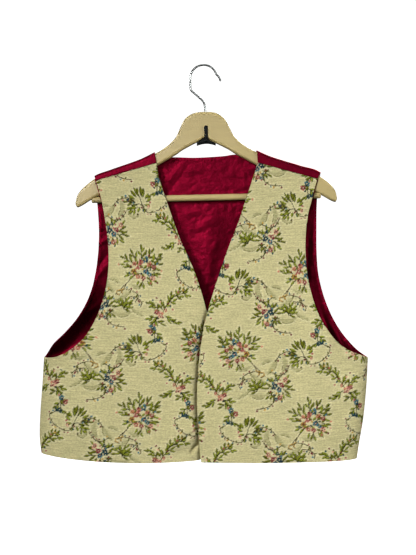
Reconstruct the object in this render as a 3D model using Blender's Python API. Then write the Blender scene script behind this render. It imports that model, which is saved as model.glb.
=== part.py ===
"""Sleeveless waistcoat with woven floral fronts and a satin back, on a wooden hanger.

Metres, +Z up. The front of the waistcoat faces -Y and +X is to the viewer's right.
The origin is inside the top of the hook, on the line where a rail carries it.
The tables below are in millimetres, and MM turns them into metres.
"""

from math import cos, pi, radians, sin

import bmesh
import bpy
import numpy as np
from mathutils import Vector

MM = 0.001

# Cloth: wall thicknesses, and the gap that neighbouring pieces keep.
FRONT_CLOTH = 1.4
SATIN = 1.0
SEAM_GAP = 0.3

# Hanger: thickness of the wood, its tilt in the photo, round bar and hook wire.
WOOD_THICKNESS = 13.5
WOOD_EDGE_ROUND = 5.0
HANGER_TILT = radians(1.2)
BAR_RADIUS = 5.4
BAR_HALF_LENGTH = 196.0
BAR_HEIGHT = -225.2
WIRE_RADIUS = 1.8
STEM_X = 3.2
STEM_DEPTH = 24.0
FIT = 0.3

# Shoulder of the cloth over the hanger arm: half width and height of the rounded turn.
TURN_HALF_WIDTH = 10.3
TURN_HEIGHT = 9.0
TURN_POWER = 3.0
TURN_STEPS = (0.55, 0.22, 0.05)
WOOD_CLEARANCE = 0.7
LEFT_END_LIFT = 2.5
RIGHT_END_LIFT = 4.0
LIFT_STARTS = 160.0

# Shoulder ends and neck points, measured along the hanger from its middle.
LEFT_SHOULDER_END = -190.4
LEFT_NECK_POINT = -86.5
RIGHT_NECK_POINT = 87.5
RIGHT_SHOULDER_END = 196.9
END_MARGIN = 5.0

# The body of the garment hangs as a flat tube: each side seam turns round within SIDE_TURN.
SIDE_TURN = 55.0
SEAM_Y = -1.0
LAP_STEP = 3.0
LAP_WIDTH = 60.0
LAP_STARTS = -330.0
LAP_FULL = -410.0

# Rows and columns of the cloth grids.
SKIRT_ROWS = 7
ARMHOLE_ROWS = 15
FRONT_COLUMNS = 13
NECK_CELLS = 9
EDGE_CROWDING = 0.25

# Hanger outline: distance from the middle, top edge, bottom edge. Both arms are alike.
HANGER_STATIONS = (
    (0.0, -78.6, -123.0),
    (12.0, -79.2, -129.7),
    (23.5, -82.6, -135.3),
    (34.5, -91.2, -141.0),
    (42.5, -106.0, -145.6),
    (49.0, -119.6, -150.3),
    (61.0, -132.7, -157.0),
    (75.0, -142.5, -164.8),
    (88.0, -149.3, -171.8),
    (110.0, -159.6, -182.6),
    (133.0, -167.6, -194.0),
    (160.0, -176.3, -207.0),
    (180.0, -184.0, -216.8),
    (192.0, -190.4, -222.5),
    (202.0, -197.8, -228.0),
    (210.0, -204.6, -233.0),
    (216.0, -210.8, -236.0),
    (220.5, -218.0, -237.2),
    (223.3, -227.5, -234.0),
)

# Hook, seen from the front: x, z along the middle of the wire, before and after its round crown.
HOOK_SHANK = ((STEM_X, -79.0), (0.6, -63.0), (-9.0, -52.5), (-20.3, -42.6), (-22.4, -37.0))
CROWN_CENTRE = (0.2, -20.9)
CROWN_RADIUS = 22.7
CROWN_END = radians(17)
HOOK_TIP_BEND = (1.4, 0.6)
HOOK_TIP = (29.2, -26.5)

# Black fitting in the middle of the hump: an upright on its front, and an arched foot below.
CLIP_X = 1.9
CLIP_HALF_WIDTH = 3.0
CLIP_TOP = -102.5
CLIP_WAIST = -124.5
CLIP_FOOT_HALF_WIDTH = 16.2
CLIP_FOOT_BOTTOM = -136.2
CLIP_FOOT_TOP = -132.6
CLIP_ARCH_SIDE = -133.5
CLIP_ARCH_TOP = -132.8
CLIP_PLATE = 1.7

# Fronts: outer edge (side seam, then armhole) and inner edge (front edge, then neck), each x, z.
LEFT_SKIRT = (
    (-277.0, -661.0, 20.0, -664.0),
    (-280.0, -632.0, 20.0, -633.0),
    (-278.5, -588.0, 20.0, -591.0),
    (-275.0, -540.0, 20.5, -547.0),
    (-272.5, -498.0, 21.0, -505.0),
)
LEFT_ARMHOLE = (
    (-272.5, -498.0, 21.0, -505.0),
    (-249.0, -495.5, 20.0, -477.0),
    (-227.0, -485.0, 16.5, -455.0),
    (-207.5, -469.5, 10.0, -433.0),
    (-192.0, -450.0, 3.5, -410.0),
    (-178.5, -423.0, -4.2, -384.0),
    (-168.0, -391.0, -13.5, -356.0),
    (-162.0, -356.0, -25.0, -328.0),
    (-161.0, -322.0, -39.0, -297.5),
    (-163.5, -290.0, -50.0, -268.0),
    (-168.0, -259.0, -59.5, -240.0),
    (-173.5, -231.0, -69.0, -213.0),
    (-179.0, -211.0, -76.5, -188.0),
    (-183.3, -196.7, -80.0, -166.5),
)
RIGHT_SKIRT = (
    (262.0, -670.5, -4.0, -674.0),
    (266.5, -641.0, -7.0, -645.0),
    (273.5, -598.0, -9.7, -600.0),
    (278.5, -545.0, -10.8, -556.0),
    (281.0, -498.0, -7.5, -505.0),
)
RIGHT_ARMHOLE = (
    (281.0, -498.0, -7.5, -505.0),
    (260.0, -490.0, -4.5, -477.0),
    (239.0, -480.5, -0.5, -452.0),
    (221.0, -465.0, 5.0, -425.0),
    (204.0, -441.5, 12.5, -400.0),
    (192.5, -419.0, 20.5, -374.0),
    (182.5, -388.0, 29.5, -347.0),
    (175.8, -353.0, 39.8, -318.0),
    (173.3, -318.0, 50.2, -290.0),
    (174.3, -285.0, 61.3, -262.0),
    (178.0, -254.0, 70.3, -233.0),
    (184.5, -230.0, 79.0, -208.0),
    (189.8, -209.0, 86.5, -184.0),
    (194.0, -193.5, 92.3, -166.0),
)
LEFT_HEM_SAG = 11.0
RIGHT_HEM_SAG = 3.0

# Back: left edge and right edge, each x, z, and the neck edge between the shoulders.
BACK_SKIRT = tuple((*left[:2], *right[:2]) for left, right in zip(LEFT_SKIRT, RIGHT_SKIRT))
BACK_ARMHOLE = (
    (-272.5, -498.0, 281.0, -498.0),
    (-257.0, -475.5, 263.0, -484.5),
    (-236.0, -455.0, 243.0, -463.0),
    (-216.5, -433.0, 227.0, -439.5),
    (-202.0, -410.0, 214.0, -413.0),
    (-192.0, -384.0, 204.0, -384.0),
    (-185.0, -350.0, 197.0, -352.0),
    (-180.7, -315.0, 194.4, -316.0),
    (-179.7, -281.0, 194.0, -281.0),
    (-181.8, -247.0, 194.3, -247.0),
    (-184.3, -221.0, 196.0, -217.0),
    (-186.0, -200.5, 200.0, -192.0),
)
BACK_HEM_SAG = 4.5
NECK_EDGE = ((-52.6, -155.0), (-12.7, -155.8), (32.3, -153.2), (55.3, -150.4))

# How far each panel stands out from the middle plane: height, front, back.
DEPTH_SECTIONS = (
    (-680.0, 24.0, 15.0),
    (-600.0, 27.0, 17.0),
    (-500.0, 28.0, 18.0),
    (-400.0, 24.0, 16.0),
    (-320.0, 18.5, 13.5),
    (-250.0, 13.0, 11.0),
    (-200.0, TURN_HALF_WIDTH, TURN_HALF_WIDTH),
)

# Largest folds: x, z of the middle, lean from upright in degrees, half length, half width, depth.
# A positive depth is a trough and a negative one a ridge.
LEFT_FOLDS = (
    (-40.0, -634.0, 62.0, 42.0, 16.0, -3.5),
    (-30.0, -652.0, 62.0, 34.0, 11.0, 3.0),
    (-66.0, -590.0, 4.0, 60.0, 24.0, 2.5),
    (-232.0, -520.0, 35.0, 55.0, 18.0, 3.5),
    (-150.0, -440.0, 28.0, 70.0, 26.0, -2.5),
    (-190.0, -620.0, -6.0, 60.0, 30.0, -3.0),
)
RIGHT_FOLDS = (
    (232.0, -515.0, -8.0, 45.0, 17.0, 4.5),
    (205.0, -540.0, -14.0, 75.0, 22.0, -2.5),
    (120.0, -610.0, 8.0, 70.0, 34.0, -3.0),
    (60.0, -560.0, -6.0, 80.0, 26.0, 2.0),
    (150.0, -430.0, -30.0, 65.0, 26.0, -2.5),
)
BACK_FOLDS = (
    (-62.0, -215.0, 24.0, 44.0, 11.0, 2.2),
    (-95.0, -270.0, 32.0, 60.0, 17.0, -3.0),
    (70.0, -225.0, -34.0, 42.0, 12.0, 2.0),
    (110.0, -290.0, -28.0, 62.0, 18.0, -3.0),
    (8.0, -300.0, 8.0, 70.0, 20.0, 3.0),
    (-222.0, -495.0, 40.0, 50.0, 14.0, 4.0),
    (228.0, -500.0, -40.0, 52.0, 14.0, 4.0),
    (-120.0, -560.0, 10.0, 95.0, 26.0, -4.5),
    (-20.0, -590.0, -4.0, 85.0, 22.0, 4.0),
    (130.0, -570.0, -9.0, 95.0, 28.0, -4.5),
)
FOLDS_END = -205.0
FOLDS_FULL = -250.0


def clear_scene():
    for obj in list(bpy.data.objects):
        bpy.data.objects.remove(obj, do_unlink=True)


def finish(name, colour, roughness, metallic=0.0):
    """A plain material of one colour."""
    material = bpy.data.materials.new(name)
    material.use_nodes = True
    shader = material.node_tree.nodes["Principled BSDF"]
    shader.inputs["Base Color"].default_value = (*colour, 1.0)
    shader.inputs["Roughness"].default_value = roughness
    shader.inputs["Metallic"].default_value = metallic
    return material


def add_mesh(name, points, faces, material, parent=None):
    """An object from points in millimetres."""
    mesh = bpy.data.meshes.new(name)
    mesh.from_pydata((np.asarray(points) * MM).tolist(), [], faces)
    mesh.materials.append(material)
    obj = bpy.data.objects.new(name, mesh)
    obj.parent = parent
    bpy.context.collection.objects.link(obj)
    return obj


def smooth_rows(table, count):
    """count rows on a Catmull-Rom curve through the table's rows."""
    knots = np.array(table)
    padded = np.vstack([2 * knots[0] - knots[1], knots, 2 * knots[-1] - knots[-2]])
    place = np.linspace(0, len(knots) - 1, count)
    first = np.minimum(place.astype(int), len(knots) - 2)
    t = (place - first)[:, None]
    a, b, c, d = (padded[first + k] for k in range(4))
    return b + 0.5 * t * (c - a + t * (2 * a - 5 * b + 4 * c - d + t * (3 * (b - c) + d - a)))


def ease(t):
    t = np.clip(t, 0.0, 1.0)
    return t * t * (3.0 - 2.0 * t)


def tilted(x, z):
    """A point of the level hanger, turned about the origin to the hanger's tilt."""
    return x * cos(HANGER_TILT) - z * sin(HANGER_TILT), x * sin(HANGER_TILT) + z * cos(HANGER_TILT)


def wood_top(x):
    stations = np.array(HANGER_STATIONS)
    return np.interp(np.abs(x), stations[:, 0], stations[:, 1])


def ridge(x):
    """World x, z of the satin's top line, on the hanger arm at x along the level hanger."""
    lift = np.where(x < 0, LEFT_END_LIFT, RIGHT_END_LIFT)
    lift = lift * ease((np.abs(x) - LIFT_STARTS) / (RIGHT_SHOULDER_END - LIFT_STARTS))
    return tilted(x, wood_top(x) + WOOD_CLEARANCE + 2 * SATIN + SEAM_GAP + lift)


def shoulder_columns(end, neck):
    """Places of the back's columns along one arm: its two ends, and the hanger's stations between."""
    side = np.sign(end)
    nearest, farthest = abs(neck) + END_MARGIN, abs(end) - END_MARGIN
    between = [side * x for x, top, bottom in HANGER_STATIONS if nearest < x < farthest]
    return np.array([neck, *between, end])


def turn_depth(drop):
    """Half width of the rounded turn over the arm, drop below its top line."""
    rise = 1.0 - np.clip(drop / TURN_HEIGHT, 0.0, 1.0)
    return TURN_HALF_WIDTH * (1.0 - rise**TURN_POWER) ** (1.0 / TURN_POWER)


def fold_depth(x, z, folds):
    """Sum of the folds at x, z: each is a soft trough or ridge, long one way and narrow the other."""
    total = np.zeros_like(x)
    for middle_x, middle_z, lean, half_length, half_width, depth in folds:
        along = (x - middle_x) * sin(radians(lean)) + (z - middle_z) * cos(radians(lean))
        across = (x - middle_x) * cos(radians(lean)) - (z - middle_z) * sin(radians(lean))
        total += depth * np.exp(-((along / half_length) ** 2) - (across / half_width) ** 2)
    return total * ease((z - FOLDS_END) / (FOLDS_FULL - FOLDS_END))


def side_turn(x, side_edge):
    """0 on the side seam and 1 past SIDE_TURN from it, on a quarter round.

    side_edge is the panel's outer edge, one x for each row. Above the armhole's corner the seam's
    place is kept, because there the edge runs in over the body and not round its side.
    """
    side = side_edge.copy()
    side[SKIRT_ROWS:] = side_edge[SKIRT_ROWS - 1]
    inward = np.abs(x - side[:, None])
    return np.sqrt(1.0 - (1.0 - np.clip(inward / SIDE_TURN, 0.0, 1.0)) ** 2)


def stand_out(z, side):
    """Distance of a panel from the middle plane. side is 1 for the front and 2 for the back."""
    sections = np.array(DEPTH_SECTIONS)
    return np.interp(z, sections[:, 0], sections[:, side])


def inward_of(points, towards):
    """Unit normals of a grid of points, on the side of the Y direction given by towards."""
    normal = np.cross(np.gradient(points, axis=1), np.gradient(points, axis=0))
    normal *= np.sign(normal[0, points.shape[1] // 2, 1]) * towards
    return normal / np.linalg.norm(normal, axis=2, keepdims=True)


def square_to_seams(normal, side_columns):
    """A side seam is at the tube's widest place and faces along X. The shoulder seam faces along Y."""
    for column in side_columns:
        normal[:SKIRT_ROWS, column] = (1.0 if normal[1, column, 0] > 0 else -1.0, 0.0, 0.0)
    normal[-1] = (0.0, 1.0, 0.0)


def wall(name, points, inward, start, thickness, material, kept=None):
    """A closed wall of cloth: the grid moved in by start, and its copy moved in by the thickness."""
    rows, columns = points.shape[:2]
    cells = [(r, c) for r in range(rows - 1) for c in range(columns - 1) if kept is None or kept[r, c]]
    outside = []
    for r, c in cells:
        a, b = r * columns + c, r * columns + c + 1
        outside += [(a, b, b + columns), (a, b + columns, a + columns)]
    used = sorted({corner for face in outside for corner in face})
    place = {corner: index for index, corner in enumerate(used)}
    outside = [tuple(place[corner] for corner in face) for face in outside]
    shift = len(used)
    inside = [(c + shift, b + shift, a + shift) for a, b, c in outside]
    sides = {(face[k], face[(k + 1) % 3]) for face in outside for k in range(3)}
    rims = [(b, a, a + shift, b + shift) for a, b in sorted(sides) if (b, a) not in sides]
    near = (points + inward * start).reshape(-1, 3)[used]
    far = (points + inward * (start + thickness)).reshape(-1, 3)[used]
    faces = outside + inside + rims
    first, second, third = outside[0]
    facing = np.cross(near[second] - near[first], near[third] - near[first])
    if facing @ (far[first] - near[first]) > 0:
        faces = [face[::-1] for face in faces]
    obj = add_mesh(name, np.vstack([near, far]), faces, material)
    obj.data.shade_smooth()
    obj.data.set_sharp_from_angle(angle=radians(40))
    return obj


def front_grid(skirt, armhole, hem_sag, folds, lap):
    """Points of a front's outer face. lap is 1 for the front that lies over and -1 for the other."""
    edges = np.vstack([smooth_rows(skirt, SKIRT_ROWS)[:-1], smooth_rows(armhole, ARMHOLE_ROWS)])
    step = np.linspace(0.0, 1.0, FRONT_COLUMNS)
    share = step * (step + EDGE_CROWDING) / (1.0 + EDGE_CROWDING)
    x = edges[:, 0:1] + (edges[:, 2:3] - edges[:, 0:1]) * share
    z = edges[:, 1:2] + (edges[:, 3:4] - edges[:, 1:2]) * share
    height = np.clip(1.0 - np.arange(len(edges)) / SKIRT_ROWS, 0.0, 1.0)[:, None]
    z -= hem_sag * height**2 * 4.0 * share * (1.0 - share)
    z[-1] -= SEAM_GAP
    y_flat = -stand_out(z, 1) + fold_depth(x, z, folds)
    near_middle = ease((LAP_WIDTH - lap * x) / LAP_WIDTH)
    y_flat -= lap * LAP_STEP * near_middle * ease((z - LAP_STARTS) / (LAP_FULL - LAP_STARTS))
    y = SEAM_Y - SEAM_GAP / 2 + (y_flat - SEAM_Y) * side_turn(x, edges[:, 0])
    return np.stack([x, y, z], axis=2)


def back_grid():
    """Points of the back's outer face, up the body and over both shoulders, and which cells are cloth."""
    edges = np.vstack([smooth_rows(BACK_SKIRT, SKIRT_ROWS)[:-1], smooth_rows(BACK_ARMHOLE, ARMHOLE_ROWS)])
    left_places = shoulder_columns(LEFT_SHOULDER_END, LEFT_NECK_POINT)[::-1]
    right_places = shoulder_columns(RIGHT_SHOULDER_END, RIGHT_NECK_POINT)
    left_x, left_top = ridge(left_places)
    right_x, right_top = ridge(right_places)
    neck_x = np.linspace(left_x[-1], right_x[0], NECK_CELLS + 1)[1:-1]
    left_start = (left_x[-1], left_top[-1] - TURN_HEIGHT)
    right_start = (right_x[0], right_top[0] - TURN_HEIGHT)
    neck_z = np.interp(neck_x, *np.array([left_start, *NECK_EDGE, right_start]).T)
    top_x = np.concatenate([left_x, neck_x, right_x])
    top_z = np.concatenate([left_top - TURN_HEIGHT, neck_z, right_top - TURN_HEIGHT])

    columns = len(top_x)
    step = np.linspace(-1.0, 1.0, columns)
    low_share = 0.5 + 0.5 * step * (1.0 + EDGE_CROWDING - np.abs(step) * EDGE_CROWDING)
    top_share = (top_x - top_x[0]) / (top_x[-1] - top_x[0])
    rise = np.clip((np.arange(len(edges)) - SKIRT_ROWS + 1) / (ARMHOLE_ROWS - 1), 0.0, 1.0)[:, None]
    share = low_share + (top_share - low_share) * rise
    x = edges[:, 0:1] + (edges[:, 2:3] - edges[:, 0:1]) * share
    z = edges[:, 1:2] + (edges[:, 3:4] - edges[:, 1:2]) * share
    height = np.clip(1.0 - np.arange(len(edges)) / SKIRT_ROWS, 0.0, 1.0)[:, None]
    z -= BACK_HEM_SAG * height**2 * 4.0 * share * (1.0 - share)
    z += (top_z - z[-1]) * rise**2
    x[-1] = top_x
    y_flat = stand_out(z, 2) - fold_depth(x, z, BACK_FOLDS)
    turn = side_turn(x, edges[:, 0]) * side_turn(x, edges[:, 2])
    y = SEAM_Y + SEAM_GAP / 2 + (y_flat - SEAM_Y) * turn
    y[-1] = TURN_HALF_WIDTH
    body = np.stack([x, y, z], axis=2)

    ridge_z = np.concatenate([left_top, neck_z + TURN_HEIGHT, right_top])
    left_share = (left_places - left_places[0]) / np.ptp(left_places)
    right_share = (right_places - right_places[0]) / np.ptp(right_places)
    left_end, left_neck = LEFT_ARMHOLE[-1][:2], LEFT_ARMHOLE[-1][2:]
    right_end, right_neck = RIGHT_ARMHOLE[-1][:2], RIGHT_ARMHOLE[-1][2:]
    left_seam = np.outer(1 - left_share, left_end) + np.outer(left_share, left_neck)
    right_seam = np.outer(1 - right_share, right_neck) + np.outer(right_share, right_end)
    seam_x = np.concatenate([left_seam[:, 0], neck_x, right_seam[:, 0]])
    seam_z = np.concatenate([left_seam[:, 1], neck_z, right_seam[:, 1]])
    drop_to_seam = ridge_z - seam_z
    over = [(1, part) for part in TURN_STEPS] + [(-1, 0.0)] + [(-1, part) for part in TURN_STEPS[::-1]]
    flap = []
    for side, part in over:
        reach = np.minimum(TURN_HEIGHT, drop_to_seam) if side < 0 else np.full(columns, TURN_HEIGHT)
        drop = part * reach
        slide = np.clip(drop / drop_to_seam, 0.0, 1.0) * (side < 0)
        flap.append(np.stack([top_x + (seam_x - top_x) * slide, side * turn_depth(drop), ridge_z - drop], 1))
    flap.append(np.stack([seam_x, -turn_depth(drop_to_seam), seam_z], 1))
    points = np.concatenate([body, np.array(flap)])
    kept = np.ones((len(points) - 1, columns - 1), bool)
    kept[len(body) - 1 :, len(left_x) - 1 : len(left_x) - 1 + NECK_CELLS] = False
    return points, kept


def make_waistcoat():
    tapestry = finish("tapestry cloth", (0.56, 0.50, 0.29), 0.9)
    satin = finish("burgundy satin", (0.15, 0.002, 0.012), 0.35)
    fronts = (
        ("front_left", LEFT_SKIRT, LEFT_ARMHOLE, LEFT_HEM_SAG, LEFT_FOLDS, -1),
        ("front_right", RIGHT_SKIRT, RIGHT_ARMHOLE, RIGHT_HEM_SAG, RIGHT_FOLDS, 1),
    )
    for name, skirt, armhole, hem_sag, folds, lap in fronts:
        points = front_grid(skirt, armhole, hem_sag, folds, lap)
        inward = inward_of(points, towards=1)
        square_to_seams(inward, (0,))
        wall(name, points, inward, 0.0, FRONT_CLOTH, tapestry)
        wall(name + "_lining", points, inward, FRONT_CLOTH + SEAM_GAP, SATIN, satin)
    points, kept = back_grid()
    inward = inward_of(points, towards=-1)
    square_to_seams(inward, (0, -1))
    wall("back", points, inward, 0.0, SATIN, satin, kept)
    wall("back_lining", points, inward, SATIN + SEAM_GAP, SATIN, satin, kept)


def prism(name, outline, front, back, material, parent=None):
    """A plate: the outline in x, z, from y front to y back."""
    count = len(outline)
    points = [(x, y, z) for y in (front, back) for x, z in outline]
    faces = [tuple(range(count)), tuple(range(2 * count - 1, count - 1, -1))]
    faces += [(k, k + count, (k + 1) % count + count, (k + 1) % count) for k in range(count)]
    obj = add_mesh(name, points, faces, material, parent)
    shell = bmesh.new()
    shell.from_mesh(obj.data)
    bmesh.ops.recalc_face_normals(shell, faces=shell.faces)
    shell.to_mesh(obj.data)
    shell.free()
    return obj


def round_bar(name, radius, length, material, parent, sides):
    """A round bar along its own Z, centred on its origin."""
    mesh = bpy.data.meshes.new(name)
    shape = bmesh.new()
    bmesh.ops.create_cone(
        shape, cap_ends=True, segments=sides, radius1=radius * MM, radius2=radius * MM, depth=length * MM
    )
    shape.to_mesh(mesh)
    shape.free()
    mesh.materials.append(material)
    obj = bpy.data.objects.new(name, mesh)
    obj.parent = parent
    bpy.context.collection.objects.link(obj)
    return obj


def cut(obj, cutter):
    cutter.hide_render = True
    cutter.display_type = "WIRE"
    modifier = obj.modifiers.new(cutter.name, "BOOLEAN")
    modifier.object = cutter
    modifier.operation = "DIFFERENCE"


def soften(obj, width, segments):
    modifier = obj.modifiers.new("rounded edges", "BEVEL")
    modifier.width = width * MM
    modifier.segments = segments
    modifier.limit_method = "ANGLE"
    modifier.angle_limit = radians(70)


def hook_line():
    """Middle of the hook wire, x and z: shank, round crown, straight tip."""
    entry = (STEM_X, HANGER_STATIONS[0][1] - STEM_DEPTH + FIT)
    shank = smooth_rows((entry, *HOOK_SHANK), 17)
    turns = np.linspace(pi, CROWN_END, 17)
    crown = np.array(CROWN_CENTRE) + CROWN_RADIUS * np.stack([np.cos(turns), np.sin(turns)], 1)
    tip = smooth_rows((crown[-1], (crown[-1] + HOOK_TIP) / 2 + HOOK_TIP_BEND, HOOK_TIP), 5)
    return np.vstack([shank, crown, tip[1:]])


def make_hook(material):
    curve = bpy.data.curves.new("hanger_hook", "CURVE")
    curve.dimensions = "3D"
    curve.bevel_depth = WIRE_RADIUS * MM
    curve.bevel_resolution = 2
    curve.use_fill_caps = True
    line = hook_line()
    spline = curve.splines.new("POLY")
    spline.points.add(len(line) - 1)
    for point, (x, z) in zip(spline.points, line):
        point.co = (x * MM, 0.0, z * MM, 1.0)
    curve.materials.append(material)
    hook = bpy.data.objects.new("hanger_hook", curve)
    bpy.context.collection.objects.link(hook)


def make_hanger():
    wood = finish("beech", (0.56, 0.43, 0.21), 0.5)
    chrome = finish("chrome wire", (0.62, 0.63, 0.62), 0.18, 1.0)
    black = finish("black plastic", (0.008, 0.008, 0.009), 0.4)
    level = bpy.data.objects.new("hanger_level", None)
    level.rotation_euler.y = -HANGER_TILT
    bpy.context.collection.objects.link(level)

    half = WOOD_THICKNESS / 2
    top = [(x, top) for x, top, bottom in HANGER_STATIONS]
    bottom = [(x, bottom) for x, top, bottom in HANGER_STATIONS]
    right = top + bottom[::-1]
    outline = right + [(-x, z) for x, z in right[::-1] if x > 0]
    body = prism("hanger_body", outline, -half, half, wood, level)
    soften(body, WOOD_EDGE_ROUND, 3)

    bar = round_bar("hanger_bar", BAR_RADIUS, 2 * BAR_HALF_LENGTH, wood, level, 16)
    socket = round_bar("bar_socket", BAR_RADIUS + FIT, 2 * (BAR_HALF_LENGTH + FIT), wood, level, 16)
    for piece in (bar, socket):
        piece.rotation_euler.y = pi / 2
        piece.location = Vector((0.0, 0.0, BAR_HEIGHT)) * MM
    cut(body, socket)

    bore = round_bar("stem_bore", WIRE_RADIUS + FIT, 2 * STEM_DEPTH, wood, None, 12)
    bore.location = Vector((STEM_X, 0.0, HANGER_STATIONS[0][1])) * MM
    cut(body, bore)
    body.data.shade_smooth()
    body.data.set_sharp_from_angle(angle=radians(40))
    bar.data.shade_smooth()
    bar.data.set_sharp_from_angle(angle=radians(50))
    make_hook(chrome)
    make_clip(black, level)


def underside(x):
    stations = np.array(HANGER_STATIONS)
    return float(np.interp(abs(x), stations[:, 0], stations[:, 2]))


def make_clip(material, level):
    """Plate on the front of the hump, with a foot that passes under the middle of the wood."""
    face = -WOOD_THICKNESS / 2 - FIT
    foot_left = CLIP_X - CLIP_FOOT_HALF_WIDTH
    foot_right = CLIP_X + CLIP_FOOT_HALF_WIDTH
    arch_side = CLIP_FOOT_HALF_WIDTH / 2
    arch = [(arch_side, CLIP_ARCH_SIDE), (0.0, CLIP_ARCH_TOP), (-arch_side, CLIP_ARCH_SIDE)]
    arch = [(CLIP_X + x, z) for x, z in arch]
    outline = [
        (CLIP_X - CLIP_HALF_WIDTH, CLIP_WAIST),
        (CLIP_X - CLIP_HALF_WIDTH, CLIP_TOP),
        (CLIP_X + CLIP_HALF_WIDTH, CLIP_TOP),
        (CLIP_X + CLIP_HALF_WIDTH, CLIP_WAIST),
        (foot_right, CLIP_FOOT_TOP),
        (foot_right, CLIP_FOOT_BOTTOM),
        *arch,
        (foot_left, CLIP_FOOT_BOTTOM),
        (foot_left, CLIP_FOOT_TOP),
    ]
    clip = prism("hanger_clip", outline, face - CLIP_PLATE, face, material, level)
    soften(clip, 0.5, 1)
    wedge = [(x, underside(x) - FIT) for x in (foot_left + 1.0, 0.0, foot_right - 1.0)]
    front = face - CLIP_PLATE / 2
    foot = prism("clip_foot", wedge + arch, front, WOOD_THICKNESS / 2, material, level)
    foot.hide_render = True
    foot.display_type = "WIRE"
    join = clip.modifiers.new("foot", "BOOLEAN")
    join.object = foot
    join.operation = "UNION"


clear_scene()
make_waistcoat()
make_hanger()
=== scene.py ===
# %% [markdown]
# # A sleeveless waistcoat on its hanger
# The garment has two fronts of woven floral cloth, a satin back that comes over both shoulders, and
# satin lining inside. It hangs on a wooden hanger with a wire hook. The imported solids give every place
# and size, and this script gives the same forms their fine surface: each piece is worked out with
# numpy on a grid of two parameters and put into a mesh. The tables of the cloth and the hanger are in
# millimetres, and the camera and the lights stand in metres.

from math import cos, pi, radians, sin

import bmesh
import bpy
import numpy as np
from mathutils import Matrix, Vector


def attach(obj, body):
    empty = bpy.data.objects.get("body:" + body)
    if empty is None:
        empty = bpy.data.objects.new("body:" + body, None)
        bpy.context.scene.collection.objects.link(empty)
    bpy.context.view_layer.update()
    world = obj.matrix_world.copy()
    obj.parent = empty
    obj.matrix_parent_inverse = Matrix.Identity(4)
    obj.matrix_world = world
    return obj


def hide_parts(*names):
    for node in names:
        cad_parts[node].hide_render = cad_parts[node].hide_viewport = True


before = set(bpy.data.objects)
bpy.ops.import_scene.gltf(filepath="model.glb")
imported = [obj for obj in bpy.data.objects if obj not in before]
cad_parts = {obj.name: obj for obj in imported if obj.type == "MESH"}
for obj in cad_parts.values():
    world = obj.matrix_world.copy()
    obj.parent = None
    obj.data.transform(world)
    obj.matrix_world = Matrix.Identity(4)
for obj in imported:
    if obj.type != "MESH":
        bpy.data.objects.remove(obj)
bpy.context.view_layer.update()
MM = 0.001
print("nodes in the frame:", ", ".join(sorted(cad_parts)))

# %% [markdown]
# ## Camera
# The picture is taken level and straight on from two metres, on the height of the chest, so the
# hanger's hook is seen a little from below and the hem a little from above. The focal length is in
# pixels of a picture 416 wide and 555 high, and the lens follows from it.

# %% Camera
CAMERA_PLACE = (0.0077, -2.0, -0.3617)
FOCAL_PIXELS = 1169.6
PICTURE_HEIGHT = 555
SENSOR = 24.0

camera_data = bpy.data.cameras.new("camera")
camera_data.sensor_fit = "VERTICAL"
camera_data.sensor_height = SENSOR
camera_data.lens = FOCAL_PIXELS * SENSOR / PICTURE_HEIGHT
camera = bpy.data.objects.new("camera", camera_data)
camera.location = CAMERA_PLACE
camera.rotation_euler = (pi / 2, 0.0, 0.0)
bpy.context.collection.objects.link(camera)
bpy.context.scene.camera = camera
print("lens", round(camera_data.lens, 2), "mm")

# %% [markdown]
# ## Driving sizes
# The cut of the garment is a few tables. Each row of a front's table gives the outer edge (side seam,
# then armhole) and the inner edge (front edge, then neck), and the cloth lies between them. The same
# sizes drive the solids, so the fine pieces lie where the solids are. Only the inner corner of the
# left front's hem hangs 4 mm lower here.

# %% Sizes of the cloth and the hanger
FRONT_CLOTH = 1.4
SATIN = 1.0
SEAM_GAP = 0.3
WOOD_THICKNESS = 13.5
HANGER_TILT = radians(1.2)
TURN_HALF_WIDTH = 10.3
TURN_HEIGHT = 9.0
TURN_POWER = 3.0
WOOD_CLEARANCE = 0.7
LEFT_END_LIFT = 2.5
RIGHT_END_LIFT = 4.0
LIFT_STARTS = 160.0
LEFT_SHOULDER_END = -190.4
LEFT_NECK_POINT = -86.5
RIGHT_NECK_POINT = 87.5
RIGHT_SHOULDER_END = 196.9
SIDE_TURN = 55.0
SEAM_Y = -1.0
LAP_STEP = 3.0
LAP_WIDTH = 60.0
LAP_STARTS = -330.0
LAP_FULL = -410.0
print("cloth", FRONT_CLOTH, "mm, satin", SATIN, "mm, wood", WOOD_THICKNESS, "mm thick")

# %% Cut of the fronts and the back
LEFT_SKIRT = (
    (-277.0, -661.0, 20.0, -668.0),
    (-280.0, -632.0, 20.0, -633.0),
    (-278.5, -588.0, 20.0, -591.0),
    (-275.0, -540.0, 20.5, -547.0),
    (-272.5, -498.0, 21.0, -505.0),
)
LEFT_ARMHOLE = (
    (-272.5, -498.0, 21.0, -505.0),
    (-249.0, -495.5, 20.0, -477.0),
    (-227.0, -485.0, 16.5, -455.0),
    (-207.5, -469.5, 10.0, -433.0),
    (-192.0, -450.0, 3.5, -410.0),
    (-178.5, -423.0, -4.2, -384.0),
    (-168.0, -391.0, -13.5, -356.0),
    (-162.0, -356.0, -25.0, -328.0),
    (-161.0, -322.0, -39.0, -297.5),
    (-163.5, -290.0, -50.0, -268.0),
    (-168.0, -259.0, -59.5, -240.0),
    (-173.5, -231.0, -69.0, -213.0),
    (-179.0, -211.0, -76.5, -188.0),
    (-183.3, -196.7, -80.0, -166.5),
)
RIGHT_SKIRT = (
    (262.0, -670.5, -4.0, -674.0),
    (266.5, -641.0, -7.0, -645.0),
    (273.5, -598.0, -9.7, -600.0),
    (278.5, -545.0, -10.8, -556.0),
    (281.0, -498.0, -7.5, -505.0),
)
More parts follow.
